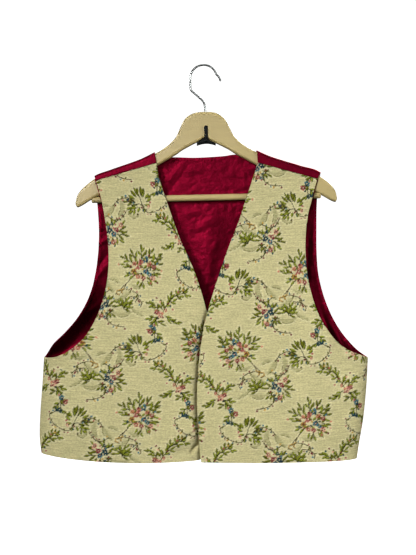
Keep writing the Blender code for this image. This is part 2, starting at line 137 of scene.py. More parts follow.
RIGHT_ARMHOLE = (
    (281.0, -498.0, -7.5, -505.0),
    (260.0, -490.0, -4.5, -477.0),
    (239.0, -480.5, -0.5, -452.0),
    (221.0, -465.0, 5.0, -425.0),
    (204.0, -441.5, 12.5, -400.0),
    (192.5, -419.0, 20.5, -374.0),
    (182.5, -388.0, 29.5, -347.0),
    (175.8, -353.0, 39.8, -318.0),
    (173.3, -318.0, 50.2, -290.0),
    (174.3, -285.0, 61.3, -262.0),
    (178.0, -254.0, 70.3, -233.0),
    (184.5, -230.0, 79.0, -208.0),
    (189.8, -209.0, 86.5, -184.0),
    (194.0, -193.5, 92.3, -166.0),
)
LEFT_HEM_SAG = 11.0
RIGHT_HEM_SAG = 3.0
BACK_SKIRT = tuple((*left[:2], *right[:2]) for left, right in zip(LEFT_SKIRT, RIGHT_SKIRT))
BACK_ARMHOLE = (
    (-272.5, -498.0, 281.0, -498.0),
    (-257.0, -475.5, 263.0, -484.5),
    (-236.0, -455.0, 243.0, -463.0),
    (-216.5, -433.0, 227.0, -439.5),
    (-202.0, -410.0, 214.0, -413.0),
    (-192.0, -384.0, 204.0, -384.0),
    (-185.0, -350.0, 197.0, -352.0),
    (-180.7, -315.0, 194.4, -316.0),
    (-179.7, -281.0, 194.0, -281.0),
    (-181.8, -247.0, 194.3, -247.0),
    (-184.3, -221.0, 196.0, -217.0),
    (-186.0, -200.5, 200.0, -192.0),
)
BACK_HEM_SAG = 4.5
NECK_EDGE = ((-52.6, -155.0), (-12.7, -155.8), (32.3, -153.2), (55.3, -150.4))
print("fronts", len(LEFT_ARMHOLE), "rows each, back", len(BACK_ARMHOLE), "rows above the underarm")

# %% [markdown]
# ## Smooth curves through a table
# A table has only the rows that the shape needs. A Catmull-Rom curve passes through every row, so
# the fine grid follows the same cut as the solids without a corner at each row.

# %% Curves and easing
def smooth_rows(table, count):
    """count rows on the curve b + t/2 (c - a + t (2a - 5b + 4c - d + t (3b - 3c + d - a)))."""
    knots = np.array(table, float)
    padded = np.vstack([2 * knots[0] - knots[1], knots, 2 * knots[-1] - knots[-2]])
    place = np.linspace(0, len(knots) - 1, count)
    first = np.minimum(place.astype(int), len(knots) - 2)
    t = (place - first)[:, None]
    a, b, c, d = (padded[first + k] for k in range(4))
    return b + 0.5 * t * (c - a + t * (2 * a - 5 * b + 4 * c - d + t * (3 * (b - c) + d - a)))


def ease(t):
    """0 below 0, 1 above 1, and 3t^2 - 2t^3 between."""
    t = np.clip(t, 0.0, 1.0)
    return t * t * (3.0 - 2.0 * t)


def tilted(x, z):
    """A point of the level hanger, turned about the origin to the hanger's tilt."""
    return x * cos(HANGER_TILT) - z * sin(HANGER_TILT), x * sin(HANGER_TILT) + z * cos(HANGER_TILT)


def levelled(x, z):
    """The other way round: a point as it hangs, turned back to the level hanger."""
    return x * cos(HANGER_TILT) + z * sin(HANGER_TILT), z * cos(HANGER_TILT) - x * sin(HANGER_TILT)


print("the level hanger's point (100, 0) hangs at", [round(value, 1) for value in tilted(100.0, 0.0)])

# %% [markdown]
# ## Outline of the hanger
# The shoulders of the garment lie on the hanger, so its outline comes before the cloth. Each station
# gives the distance from the middle, the top edge and the bottom edge of one arm.

# %% Hanger outline
HANGER_STATIONS = (
    (0.0, -78.6, -123.0),
    (12.0, -79.2, -129.7),
    (23.5, -82.6, -135.3),
    (34.5, -91.2, -141.0),
    (42.5, -106.0, -145.6),
    (49.0, -119.6, -150.3),
    (61.0, -132.7, -157.0),
    (75.0, -142.5, -164.8),
    (88.0, -149.3, -171.8),
    (110.0, -159.6, -182.6),
    (133.0, -167.6, -194.0),
    (160.0, -176.3, -207.0),
    (180.0, -184.0, -216.8),
    (192.0, -190.4, -222.5),
    (202.0, -197.8, -228.0),
    (210.0, -204.6, -233.0),
    (216.0, -210.8, -236.0),
    (220.5, -218.0, -237.2),
    (223.3, -227.5, -234.0),
)
ARM_STEPS = 150
arm_line = smooth_rows(HANGER_STATIONS, ARM_STEPS)


def wood_top(x):
    """Height of the wood's top edge at this place along the level hanger."""
    return np.interp(np.abs(x), arm_line[:, 0], arm_line[:, 1])


def ridge(x):
    """World x, z of the satin's top line, on the hanger arm at x along the level hanger."""
    lift = np.where(x < 0, LEFT_END_LIFT, RIGHT_END_LIFT)
    lift = lift * ease((np.abs(x) - LIFT_STARTS) / (RIGHT_SHOULDER_END - LIFT_STARTS))
    return tilted(x, wood_top(x) + WOOD_CLEARANCE + 2 * SATIN + SEAM_GAP + lift)


def turn_depth(drop):
    """Half width of the turn over the arm, drop below its top: w (1 - (1 - drop/h)^p)^(1/p)."""
    rise = 1.0 - np.clip(drop / TURN_HEIGHT, 0.0, 1.0)
    return TURN_HALF_WIDTH * (1.0 - rise**TURN_POWER) ** (1.0 / TURN_POWER)


print("the satin's top line at the neck points:", [round(float(v), 1) for v in ridge(LEFT_NECK_POINT)],
      [round(float(v), 1) for v in ridge(RIGHT_NECK_POINT)])

# %% [markdown]
# ## How the garment stands out from the middle plane
# On its hanger the garment is a flat tube. Each panel stands out by a depth that depends on height,
# and comes round to the side seam on a quarter circle. Each row below gives a height and how far the
# front and the back stand out there.

# %% Depth of the body
DEPTH_STEPS = 61
DEPTH_SECTIONS = (
    (-680.0, 24.0, 15.0),
    (-600.0, 27.0, 17.0),
    (-500.0, 28.0, 18.0),
    (-400.0, 24.0, 16.0),
    (-320.0, 18.5, 13.5),
    (-250.0, 13.0, 11.0),
    (-200.0, TURN_HALF_WIDTH, TURN_HALF_WIDTH),
)
depth_line = smooth_rows(DEPTH_SECTIONS, DEPTH_STEPS)


def stand_out(z, side):
    """Distance of a panel from the middle plane. side is 1 for the front and 2 for the back."""
    return np.interp(z, depth_line[:, 0], depth_line[:, side])


print("the body is", round(sum(stand_out(-500.0, side) for side in (1, 2)), 1), "mm deep at the underarm")

# %% [markdown]
# ## Folds and creases
# Lined cloth on a hanger falls in soft troughs and ridges. A cloth simulation could find them, but it
# would fall too smoothly and differ from the picture, so they are placed one by one. Each is a long bell
# curve, narrow one way. Its row gives the middle x and z, the lean from upright in degrees, the half
# length, the half width and the depth, and no two rows are alike. The folds are large, and the solids
# have them too. The creases are the finer ones of the real cloth, and this script alone has them.

# %% Folds and creases of the fronts
LEFT_FOLDS = (
    (-40.0, -634.0, 62.0, 42.0, 16.0, -3.5),
    (-30.0, -652.0, 62.0, 34.0, 11.0, 3.0),
    (-66.0, -590.0, 4.0, 60.0, 24.0, 2.5),
    (-232.0, -520.0, 35.0, 55.0, 18.0, 3.5),
    (-150.0, -440.0, 28.0, 70.0, 26.0, -2.5),
    (-190.0, -620.0, -6.0, 60.0, 30.0, -3.0),
)
LEFT_CREASES = (
    (-15.0, -651.0, 40.0, 11.0, 3.4, 6.0),
    (-27.0, -631.0, 55.0, 21.0, 3.4, 2.7),
    (-122.0, -598.0, 72.0, 34.0, 5.0, -0.8),
    (-205.0, -505.0, 52.0, 30.0, 6.0, 1.2),
    (-120.0, -300.0, 18.0, 44.0, 7.0, -0.9),
)
RIGHT_FOLDS = (
    (232.0, -515.0, -8.0, 45.0, 17.0, 4.5),
    (205.0, -540.0, -14.0, 75.0, 22.0, -2.5),
    (120.0, -610.0, 8.0, 70.0, 34.0, -3.0),
    (60.0, -560.0, -6.0, 80.0, 26.0, 2.0),
    (150.0, -430.0, -30.0, 65.0, 26.0, -2.5),
)
RIGHT_CREASES = (
    (222.0, -497.0, -4.0, 22.0, 5.0, 1.6),
    (180.0, -620.0, 64.0, 36.0, 6.0, 0.9),
    (44.0, -470.0, -20.0, 50.0, 8.0, -0.9),
    (120.0, -300.0, -14.0, 48.0, 7.0, -0.9),
    (90.0, -640.0, 78.0, 30.0, 5.0, 0.9),
)
print("the fronts have", len(LEFT_FOLDS + RIGHT_FOLDS), "folds and",
      len(LEFT_CREASES + RIGHT_CREASES), "creases")

# %% Folds and creases of the back
BACK_FOLDS = (
    (-62.0, -215.0, 24.0, 44.0, 11.0, 2.2),
    (-95.0, -270.0, 32.0, 60.0, 17.0, -3.0),
    (70.0, -225.0, -34.0, 42.0, 12.0, 2.0),
    (110.0, -290.0, -28.0, 62.0, 18.0, -3.0),
    (8.0, -300.0, 8.0, 70.0, 20.0, 3.0),
    (-222.0, -495.0, 40.0, 50.0, 14.0, 4.0),
    (228.0, -500.0, -40.0, 52.0, 14.0, 4.0),
    (-120.0, -560.0, 10.0, 95.0, 26.0, -4.5),
    (-20.0, -590.0, -4.0, 85.0, 22.0, 4.0),
    (130.0, -570.0, -9.0, 95.0, 28.0, -4.5),
)
BACK_CREASES = (
    (-53.0, -188.0, 36.0, 24.0, 3.0, 1.5),
    (-41.0, -184.0, 30.0, 20.0, 2.8, 1.3),
    (-66.0, -196.0, 42.0, 20.0, 3.2, 1.4),
    (-46.0, -196.0, 34.0, 24.0, 3.0, -1.3),
    (-20.0, -178.0, 78.0, 24.0, 3.2, 0.7),
    (24.0, -176.0, 96.0, 26.0, 2.4, 0.7),
    (62.0, -182.0, 84.0, 15.0, 2.0, 0.8),
    (58.0, -194.0, 98.0, 18.0, 2.2, -0.8),
    (66.0, -206.0, 76.0, 16.0, 2.2, 0.8),
    (-24.0, -252.0, 62.0, 26.0, 6.0, 0.8),
    (8.0, -268.0, 74.0, 30.0, 7.0, 0.7),
    (-4.0, -286.0, 58.0, 22.0, 6.0, -0.6),
    (18.0, -310.0, 30.0, 34.0, 8.0, 0.9),
    (-10.0, -330.0, -24.0, 36.0, 9.0, -0.8),
    (12.0, -345.0, 12.0, 26.0, 6.0, 1.2),
    (-176.0, -276.0, 84.0, 12.0, 2.6, 1.5),
    (-172.0, -300.0, 66.0, 14.0, 3.2, 2.0),
    (-172.0, -330.0, 40.0, 22.0, 4.8, -1.9),
    (-173.0, -350.0, 42.0, 19.0, 3.8, 1.9),
    (-178.0, -374.0, 88.0, 14.0, 2.4, -1.6),
    (-189.0, -414.0, 54.0, 17.0, 4.0, 2.8),
    (-204.0, -438.0, 48.0, 24.0, 5.5, -2.2),
    (181.0, -322.0, 4.0, 56.0, 4.6, -3.0),
    (190.0, -402.0, -24.0, 36.0, 5.0, 1.8),
    (205.0, -436.0, -26.0, 26.0, 4.2, 2.6),
    (214.0, -449.0, -26.0, 24.0, 3.6, -3.2),
    (232.0, -465.0, -30.0, 20.0, 3.4, 3.4),
    (240.0, -473.0, -30.0, 16.0, 3.0, -3.0),
    (251.0, -481.0, -32.0, 14.0, 3.0, 3.0),
    (261.0, -490.0, -32.0, 12.0, 2.8, -2.8),
    (-236.0, -468.0, 42.0, 44.0, 17.0, -7.0),
    (-150.0, -470.0, 58.0, 70.0, 12.0, 1.8),
    (160.0, -462.0, -62.0, 76.0, 12.0, 1.8),
    (-60.0, -430.0, 34.0, 60.0, 13.0, -1.8),
    (70.0, -440.0, -40.0, 64.0, 12.0, -1.8),
    (-200.0, -590.0, 6.0, 60.0, 12.0, 2.0),
    (50.0, -620.0, 3.0, 52.0, 11.0, -2.0),
    (205.0, -600.0, -7.0, 64.0, 13.0, 2.0),
    (-70.0, -640.0, -5.0, 40.0, 10.0, 1.6),
)
print("the back has", len(BACK_FOLDS), "folds and", len(BACK_CREASES), "creases")

# %% Depth of the folds, and the turn at the side seam
FOLDS_END = -205.0
FOLDS_FULL = -250.0
CREASES_END = -158.0
CREASES_FULL = -176.0


def fold_depth(x, z, folds, end=FOLDS_END, full=FOLDS_FULL):
    """Sum of depth * exp(-(along/half length)^2 - (across/half width)^2), from full up to none."""
    total = np.zeros_like(x)
    for middle_x, middle_z, lean, half_length, half_width, depth in folds:
        along = (x - middle_x) * sin(radians(lean)) + (z - middle_z) * cos(radians(lean))
        across = (x - middle_x) * cos(radians(lean)) - (z - middle_z) * sin(radians(lean))
        total += depth * np.exp(-((along / half_length) ** 2) - (across / half_width) ** 2)
    return total * ease((z - end) / (full - end))


def side_turn(x, side_edge, skirt_rows):
    """Quarter circle from 0 on the side seam to 1 at SIDE_TURN from it: sqrt(1 - (1 - d/turn)^2).

    Above the underarm the seam's place is kept, because there the edge runs in over the body.
    """
    side = side_edge.copy()
    side[skirt_rows:] = side_edge[skirt_rows - 1]
    inward = np.abs(x - side[:, None])
    return np.sqrt(1.0 - (1.0 - np.clip(inward / SIDE_TURN, 0.0, 1.0)) ** 2)


print("folds end at", FOLDS_END, "mm and creases at", CREASES_END, "mm, below the shoulders")

# %% [markdown]
# ## The fronts as a surface
# Rows run from the hem to the shoulder and columns from the side seam to the front edge. Columns are
# spaced by equal angles on the quarter circle at the side, then evenly, so the round side is as fine
# as the flat chest. Towards the middle one front steps out to lie over the other. The cloth under
# the lap sinks away in a groove beside its edge, which gives the dark line down the middle.

# %% Front surface
FRONT_SKIRT_ROWS = 136
FRONT_ARMHOLE_ROWS = 232
FRONT_SIDE_COLUMNS = 52
FRONT_FLAT_COLUMNS = 168
PANEL_WIDTH = 297.0
GROOVE_DEPTH = 9.0
GROOVE_HALF_WIDTH = 4.6
GROOVE_UNDER_LAP = 1.6
GROOVE_TOP = -404.0
GROOVE_FULL = -440.0
LAP_EDGE = sorted((row[3], row[2]) for row in (*RIGHT_SKIRT, *RIGHT_ARMHOLE[1:]))


def lap_groove(x, z):
    """Where the cloth under the lap sinks away along the lap's edge: d exp(-((x - edge) / w)^2)."""
    edge = np.interp(z, *np.array(LAP_EDGE).T) + GROOVE_UNDER_LAP
    depth = GROOVE_DEPTH * ease((GROOVE_TOP - z) / (GROOVE_TOP - GROOVE_FULL))
    return depth * np.exp(-(((x - edge) / GROOVE_HALF_WIDTH) ** 2))


def hem_drop(count, skirt_rows, sag, share):
    """How far the hem sags: s h^2 4 t (1 - t), where h is 1 on the hem and 0 at the underarm."""
    height = np.clip(1.0 - np.arange(count) / skirt_rows, 0.0, 1.0)[:, None]
    return sag * height**2 * 4.0 * share * (1.0 - share)


def front_surface(skirt, armhole, hem_sag, folds, creases, lap):
    """Points of a front's outer face. lap is 1 for the front that lies over and -1 for the other."""
    edges = np.vstack(
        [smooth_rows(skirt, FRONT_SKIRT_ROWS)[:-1], smooth_rows(armhole, FRONT_ARMHOLE_ROWS)]
    )
    angles = np.linspace(0.0, pi / 2, FRONT_SIDE_COLUMNS)
    flat = np.linspace(SIDE_TURN, PANEL_WIDTH, FRONT_FLAT_COLUMNS + 1)[1:]
    share = np.concatenate([SIDE_TURN * (1.0 - np.cos(angles)), flat]) / PANEL_WIDTH
    x = edges[:, 0:1] + (edges[:, 2:3] - edges[:, 0:1]) * share
    z = edges[:, 1:2] + (edges[:, 3:4] - edges[:, 1:2]) * share
    z -= hem_drop(len(edges), FRONT_SKIRT_ROWS, hem_sag, share)
    z[-1] -= SEAM_GAP
    y_flat = -stand_out(z, 1) + fold_depth(x, z, folds) + fold_depth(x, z, creases)
    if lap < 0:
        y_flat += lap_groove(x, z)
    near_middle = ease((LAP_WIDTH - lap * x) / LAP_WIDTH)
    y_flat -= lap * LAP_STEP * near_middle * ease((z - LAP_STARTS) / (LAP_FULL - LAP_STARTS))
    turn = side_turn(x, edges[:, 0], FRONT_SKIRT_ROWS)
    y = SEAM_Y - SEAM_GAP / 2 + (y_flat - SEAM_Y) * turn
    return np.stack([x, y, z], axis=2)


left_front = front_surface(LEFT_SKIRT, LEFT_ARMHOLE, LEFT_HEM_SAG, LEFT_FOLDS, LEFT_CREASES, -1)
right_front = front_surface(RIGHT_SKIRT, RIGHT_ARMHOLE, RIGHT_HEM_SAG, RIGHT_FOLDS, RIGHT_CREASES, 1)
cells = np.linalg.norm(np.diff(left_front[FRONT_SKIRT_ROWS], axis=0), axis=1)
print("front grid", left_front.shape[:2], "cells about", round(float(cells.mean()), 2), "mm wide")

# %% [markdown]
# ## The back as a surface
# The satin back runs up from the hem, over both hanger arms on a rounded turn, and down to the
# shoulder seams, which lie forward of the ridge. One grid holds all of it, and the cells between the
# two shoulders, where the neck is, are left out. The edges of the armholes curl forward, most at the
# bottom of the left one, so that its hollow is turned away from the light.

# %% Curl of the armholes
CURL_WIDTH = 48.0
CURL_DEPTH_HIGH = 5.0
LEFT_CURL_LOW = 32.0
RIGHT_CURL_LOW = 7.0
CURL_HIGH = -350.0
CURL_LOW = -425.0
CURL_TOP = -215.0
CURL_FADE = 70.0
CURL_FROM_UNDERARM = 9.0


def armhole_curl(from_left, from_right, z, rise):
    """Sum over both edges of depth * (1 - distance/width)^2. The depth grows downwards."""
    lower = ease((CURL_HIGH - z) / (CURL_HIGH - CURL_LOW))
    fade = ease((CURL_TOP - z) / CURL_FADE) * ease(rise * CURL_FROM_UNDERARM)
    total = np.zeros_like(z)
    for distance, low_depth in ((from_left, LEFT_CURL_LOW), (from_right, RIGHT_CURL_LOW)):
        depth = CURL_DEPTH_HIGH + (low_depth - CURL_DEPTH_HIGH) * lower
        total += fade * depth * np.clip(1.0 - distance / CURL_WIDTH, 0.0, 1.0) ** 2
    return total


print("the left armhole curls", LEFT_CURL_LOW, "mm forward at most, and the right one", RIGHT_CURL_LOW)

# %% Top line and body of the back
BACK_SKIRT_ROWS = 64
BACK_ARMHOLE_ROWS = 130
SHOULDER_COLUMNS = 60
NECK_COLUMNS = 100
NECK_STEPS = 60
BACK_SIDE_COLUMNS = 34


def back_top():
    """x and ridge height along the top: one shoulder, the neck, and the other shoulder."""
    left_x, left_top = ridge(np.linspace(LEFT_SHOULDER_END, LEFT_NECK_POINT, SHOULDER_COLUMNS))
    right_x, right_top = ridge(np.linspace(RIGHT_NECK_POINT, RIGHT_SHOULDER_END, SHOULDER_COLUMNS))
    neck_x = np.linspace(left_x[-1], right_x[0], NECK_COLUMNS + 2)[1:-1]
    neck_ends = ((left_x[-1], left_top[-1] - TURN_HEIGHT), (right_x[0], right_top[0] - TURN_HEIGHT))
    neck_line = smooth_rows((neck_ends[0], *NECK_EDGE, neck_ends[1]), NECK_STEPS)
    neck_top = np.interp(neck_x, neck_line[:, 0], neck_line[:, 1]) + TURN_HEIGHT
    return np.concatenate([left_x, neck_x, right_x]), np.concatenate([left_top, neck_top, right_top])


def back_shares(columns, width):
    """Shares across the back, crowded on the quarter circles at both sides."""
    turn = SIDE_TURN * (1.0 - np.cos(np.linspace(0.0, pi / 2, BACK_SIDE_COLUMNS)))
    flat = np.linspace(SIDE_TURN, width - SIDE_TURN, columns - 2 * BACK_SIDE_COLUMNS + 2)[1:-1]
    return np.concatenate([turn, flat, width - turn[::-1]]) / width


def back_body(top_x, top_z):
    """Points of the outer face from the hem to the top line, and eased into that line's own height."""
    edges = np.vstack(
        [smooth_rows(BACK_SKIRT, BACK_SKIRT_ROWS)[:-1], smooth_rows(BACK_ARMHOLE, BACK_ARMHOLE_ROWS)]
    )
    low_share = back_shares(len(top_x), BACK_SKIRT[-1][2] - BACK_SKIRT[-1][0])
    top_share = (top_x - top_x[0]) / (top_x[-1] - top_x[0])
    above_underarm = np.arange(len(edges)) - BACK_SKIRT_ROWS + 1
    rise = np.clip(above_underarm / (BACK_ARMHOLE_ROWS - 1), 0.0, 1.0)[:, None]
    share = low_share + (top_share - low_share) * rise
    x = edges[:, 0:1] + (edges[:, 2:3] - edges[:, 0:1]) * share
    z = edges[:, 1:2] + (edges[:, 3:4] - edges[:, 1:2]) * share
    z -= hem_drop(len(edges), BACK_SKIRT_ROWS, BACK_HEM_SAG, share)
    z += (top_z - z[-1]) * rise**2
    x[-1] = top_x
    y_flat = stand_out(z, 2) - fold_depth(x, z, BACK_FOLDS)
    y_flat -= fold_depth(x, z, BACK_CREASES, CREASES_END, CREASES_FULL)
    y_flat -= armhole_curl(x - edges[:, 0:1], edges[:, 2:3] - x, z, rise)
    turn = side_turn(x, edges[:, 0], BACK_SKIRT_ROWS) * side_turn(x, edges[:, 2], BACK_SKIRT_ROWS)
    y = SEAM_Y + SEAM_GAP / 2 + (y_flat - SEAM_Y) * turn
    return np.stack([x, y, z], axis=2)


top_x, ridge_z = back_top()
body = back_body(top_x, ridge_z - TURN_HEIGHT)
print("body of the back:", body.shape[:2], "points")

# %% Over the shoulders
TURN_ROWS = 9
FLAP_ROWS = 14
FLAP_CROWDING = 1.6


def over_the_shoulders(top_x, ridge_z):
    """Rows up the back of the rounded turn, then down its front to the shoulder seams."""
    across = np.linspace(0.0, 1.0, SHOULDER_COLUMNS)[:, None]
    left_seam = (1 - across) * LEFT_ARMHOLE[-1][:2] + across * LEFT_ARMHOLE[-1][2:]
    right_seam = (1 - across) * RIGHT_ARMHOLE[-1][2:] + across * RIGHT_ARMHOLE[-1][:2]
    neck = slice(SHOULDER_COLUMNS, -SHOULDER_COLUMNS)
    neck_edge = np.stack([top_x[neck], ridge_z[neck] - TURN_HEIGHT], axis=1)
    seam = np.concatenate([left_seam, neck_edge, right_seam])
    to_seam = ridge_z - seam[:, 1]
    up = (1.0 - np.sin(np.linspace(0.0, pi / 2, TURN_ROWS)))[1:, None] * TURN_HEIGHT
    behind = np.stack(np.broadcast_arrays(top_x, turn_depth(up), ridge_z - up), axis=2)
    down = (np.linspace(0.0, 1.0, FLAP_ROWS) ** FLAP_CROWDING)[1:, None] * to_seam
    before_x = top_x + (seam[:, 0] - top_x) * down / to_seam
    before = np.stack(np.broadcast_arrays(before_x, -turn_depth(down), ridge_z - down), axis=2)
    return np.concatenate([behind, before])


back = np.concatenate([body, over_the_shoulders(top_x, ridge_z)])
back_kept = np.ones((len(back) - 1, len(top_x) - 1), bool)
back_kept[len(body) - 1 :, SHOULDER_COLUMNS - 1 : SHOULDER_COLUMNS + NECK_COLUMNS] = False
print("back grid", back.shape[:2], "with", int(back_kept.sum()), "cells of cloth")

# %% [markdown]
# ## From a grid to cloth with turned edges
# Real cloth shows no raw edge here: it is turned to the inside. The sheet is the grid, and from each
# of its edges a half circle of the cloth's own thickness turns in and runs back a few millimetres
# behind it. The place of a ring is edge + outward * r sin(a) + inward * r (1 - cos(a)).

# %% Directions on a grid
def unit(vectors):
    """Each vector divided by its length."""
    return vectors / np.maximum(np.linalg.norm(vectors, axis=-1, keepdims=True), 1e-9)


def inward_of(points, towards):
    """Unit normals of the grid, on the side of the Y direction given by towards."""
    normal = np.cross(np.gradient(points, axis=1), np.gradient(points, axis=0))
    return unit(normal * np.sign(normal[0, points.shape[1] // 2, 1]) * towards)


def rim_of(place, quads, into):
    """Points on the rim, the pairs of them that its edges join, and the way out at each point.

    A rim edge belongs to one quad alone. The way out is across it, cross(inward, along), and it
    points away from the middle of the quads beside it.
    """
    sides = np.concatenate([quads[:, [k, (k + 1) % 4]] for k in range(4)])
    forward = sides[:, 0] * len(place) + sides[:, 1]
    backward = sides[:, 1] * len(place) + sides[:, 0]
    rim = sides[~np.isin(backward, forward)]
    edge, pairs = np.unique(rim, return_inverse=True)
    pairs = pairs.reshape(-1, 2)
    along = place[rim[:, 1]] - place[rim[:, 0]]
    away = unit(np.cross(into[rim[:, 0]] + into[rim[:, 1]], along))
    outward = np.zeros((len(edge), 3))
    np.add.at(outward, pairs[:, 0], away)
    np.add.at(outward, pairs[:, 1], away)
    outward = unit(outward)
    middles = place[quads].mean(axis=1)
    beside = np.zeros_like(place)
    count = np.zeros(len(place))
    for k in range(4):
        np.add.at(beside, quads[:, k], middles)
        np.add.at(count, quads[:, k], 1.0)
    from_middle = place[edge] - beside[edge] / count[edge, None]
    return edge, pairs, outward * np.sign((from_middle * outward).sum())


print("normals face inwards, and a rim is found by its edges with one quad")

# %% Sheets with turned edges
TURNED_STEPS = 5
TURNED_RETURN = 5.0


def new_piece(name, points, faces):
    """A smooth object from points in millimetres and lists of corners."""
    mesh = bpy.data.meshes.new(name)
    mesh.from_pydata((points * MM).tolist(), [], faces)
    mesh.shade_smooth()
    obj = bpy.data.objects.new(name, mesh)
    bpy.context.collection.objects.link(obj)
    return obj


def cloth_mesh(name, points, inward, start, thickness, kept=None):
    """An object of the grid moved in by start, with edges turned in by the thickness.

    It also gives, for each point of the mesh, the number of the grid point that it came from.
    """
    rows, columns = points.shape[:2]
    corner = np.arange(rows * columns).reshape(rows, columns)
    quads = np.stack([corner[:-1, :-1], corner[:-1, 1:], corner[1:, 1:], corner[1:, :-1]], axis=2)
    quads = quads.reshape(-1, 4) if kept is None else quads[kept]
    used, quads = np.unique(quads, return_inverse=True)
    quads = quads.reshape(-1, 4)
    place = (points + inward * start).reshape(-1, 3)[used]
    into = inward.reshape(-1, 3)[used]
    facing = np.cross(place[quads[:, 1]] - place[quads[:, 0]], place[quads[:, 3]] - place[quads[:, 0]])
    if (facing * into[quads[:, 0]]).sum() > 0:
        quads = quads[:, ::-1]

    edge, pairs, outward = rim_of(place, quads, into)
    radius = thickness / 2
    place[edge] -= outward * radius
    rings = [place]
    for angle in np.linspace(0.0, pi, TURNED_STEPS + 1)[1:]:
        rings.append(place[edge] + outward * radius * sin(angle) + into[edge] * radius * (1 - cos(angle)))
    rings.append(rings[-1] - outward * TURNED_RETURN)
    faces = [quads]
    first = edge
    for ring in range(TURNED_STEPS + 1):
        second = len(used) + ring * len(edge) + np.arange(len(edge))
        corners = (first[pairs[:, 1]], first[pairs[:, 0]], second[pairs[:, 0]], second[pairs[:, 1]])
        faces.append(np.stack(corners, axis=1))
        first = second
    source = np.concatenate([used] + [used[edge]] * (TURNED_STEPS + 1))
    return new_piece(name, np.concatenate(rings), np.concatenate(faces).tolist()), source


def finish_piece(obj, material, nodes):
    """Gives a piece its material and ties it to the frame."""
    obj.data.materials.append(material)
    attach(obj, "root")
    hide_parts(*nodes)


print("turned edges:", TURNED_STEPS, "steps round, then", TURNED_RETURN, "mm back")

# %% [markdown]
# ## The woven flowers
# The front cloth is a tapestry weave: a cream ground with bouquets, fern sprays, small posies and
# thorny vines, which repeat about every 214 mm across. Half a repeat further down they come again as
# a mirror image. A painted image would do, but a designer draws such a repeat as leaves, petals and
# stems on point paper, and so does this: each shape is a pointed or a round patch with its own place,
# direction and yarn, and it stays as sharp as the mesh is fine.

# %% Yarns
def yarn(red, green, blue):
    """Linear colour from the 0 to 255 values that a screen shows."""
    return (np.array([red, green, blue]) / 255.0) ** 2.2


CREAM = yarn(186, 178, 130)
PALE_CREAM = yarn(208, 201, 156)
DARK_OLIVE = yarn(40, 42, 6)
OLIVE = yarn(97, 100, 19)
LEAF_GREEN = yarn(126, 134, 40)
SAGE = yarn(152, 148, 102)
DARK_SAGE = yarn(112, 106, 64)
BROWN = yarn(64, 52, 26)
NAVY = yarn(26, 36, 42)
TEAL = yarn(28, 60, 68)
BLUE = yarn(66, 104, 112)
BURGUNDY = yarn(98, 34, 42)
ROSE = yarn(154, 84, 78)
SALMON = yarn(186, 122, 94)
PINK = yarn(200, 152, 124)
GOLD = yarn(176, 138, 60)
REPEAT_WIDTH = 214.0
REPEAT_HEIGHT = 250.0
MIRROR_SHIFT = -112.0
draw = np.random.default_rng(7)
shapes = []
print("yarns: two creams, three greens, two sages, and nine for flowers, berries and vines")

# %% [markdown]
# ### Leaves, petals and stems
# In this cloth a leaf is a dark lens with a lighter stripe, a stem is a row of slanted stitches, and
# a blossom is a ring of small petals round a light heart. Each function puts such a group of patches
# on the list. A little chance in the angles and sizes keeps them from looking stamped.

# %% Patches, leaves and twigs
STEM_POINTS = 12
STITCH_STEP = 2.6
STITCH_HALF_LENGTH = 2.2


def blob(x, z, angle, half_length, half_width, colour, pointed=False, hatched=False):
    """One patch of a yarn: pointed like a leaf or round like a petal, solid or hatched."""
    shapes.append((x, z, radians(angle), half_length, half_width, colour, pointed, hatched))


def ahead(x, z, angle, distance):
    """The point at this distance from x, z, in the direction of the angle in degrees."""
    return x + cos(radians(angle)) * distance, z + sin(radians(angle)) * distance


def leaf(x, z, angle, length=12.5, width=4.0, light=None):
    """A slender dark leaf from its foot at x, z, with a lighter stripe on its upper side."""
    blob(*ahead(x, z, angle, length / 2), angle, length / 2, width / 2, DARK_OLIVE, True)
    light = light if light is not None else (OLIVE, LEAF_GREEN)[int(draw.integers(2))]
    upper = 1.0 if cos(radians(angle)) > 0 else -1.0
    middle = ahead(*ahead(x, z, angle, length * 0.52), angle + 90.0 * upper, width * 0.14)
    blob(*middle, angle, length * 0.40, width * 0.34, light, True)


def stem(points, width=1.6, colour=BROWN):
    """A thin line of overlapping short patches along the curve through the points."""
    line = smooth_rows(points, STEM_POINTS * len(points))
    steps = np.linalg.norm(np.diff(line, axis=0), axis=1)
    reach = np.concatenate([[0.0], np.cumsum(steps)])
    places = np.arange(0.0, reach[-1], STITCH_STEP)
    x = np.interp(places, reach, line[:, 0])
    z = np.interp(places, reach, line[:, 1])
    angles = np.degrees(np.arctan2(np.gradient(z), np.gradient(x)))
    for px, pz, angle in zip(x, z, angles):
        blob(px, pz, angle, STITCH_HALF_LENGTH, width / 2, colour)
    return np.stack([x, z, angles], axis=1)


def twig(x, z, angle, leaves, length=10.0, spread=36.0):
    """A short stalk with leaves by turns on both sides and one at its tip, getting smaller."""
    step = length * 0.38
    stem(((x, z), ahead(x, z, angle, step * leaves)), 1.3, DARK_OLIVE)
    for k in range(leaves):
        side = spread if k % 2 else -spread
        size = length * (1.16 - 0.09 * k) * draw.uniform(0.85, 1.12)
        leaf(*ahead(x, z, angle, step * k), angle + side + draw.uniform(-9, 9), size)
    leaf(*ahead(x, z, angle, step * leaves), angle + draw.uniform(-8, 8), length)


print("a stitch of a stem is", STITCH_STEP, "mm long")

# %% Berries, blossoms, vines and scrolls
PETALS = 5


def berry(x, z, colour, radius=1.5):
    """One nearly round patch."""
    blob(x, z, draw.uniform(0, 180), radius, radius * 0.9, colour)


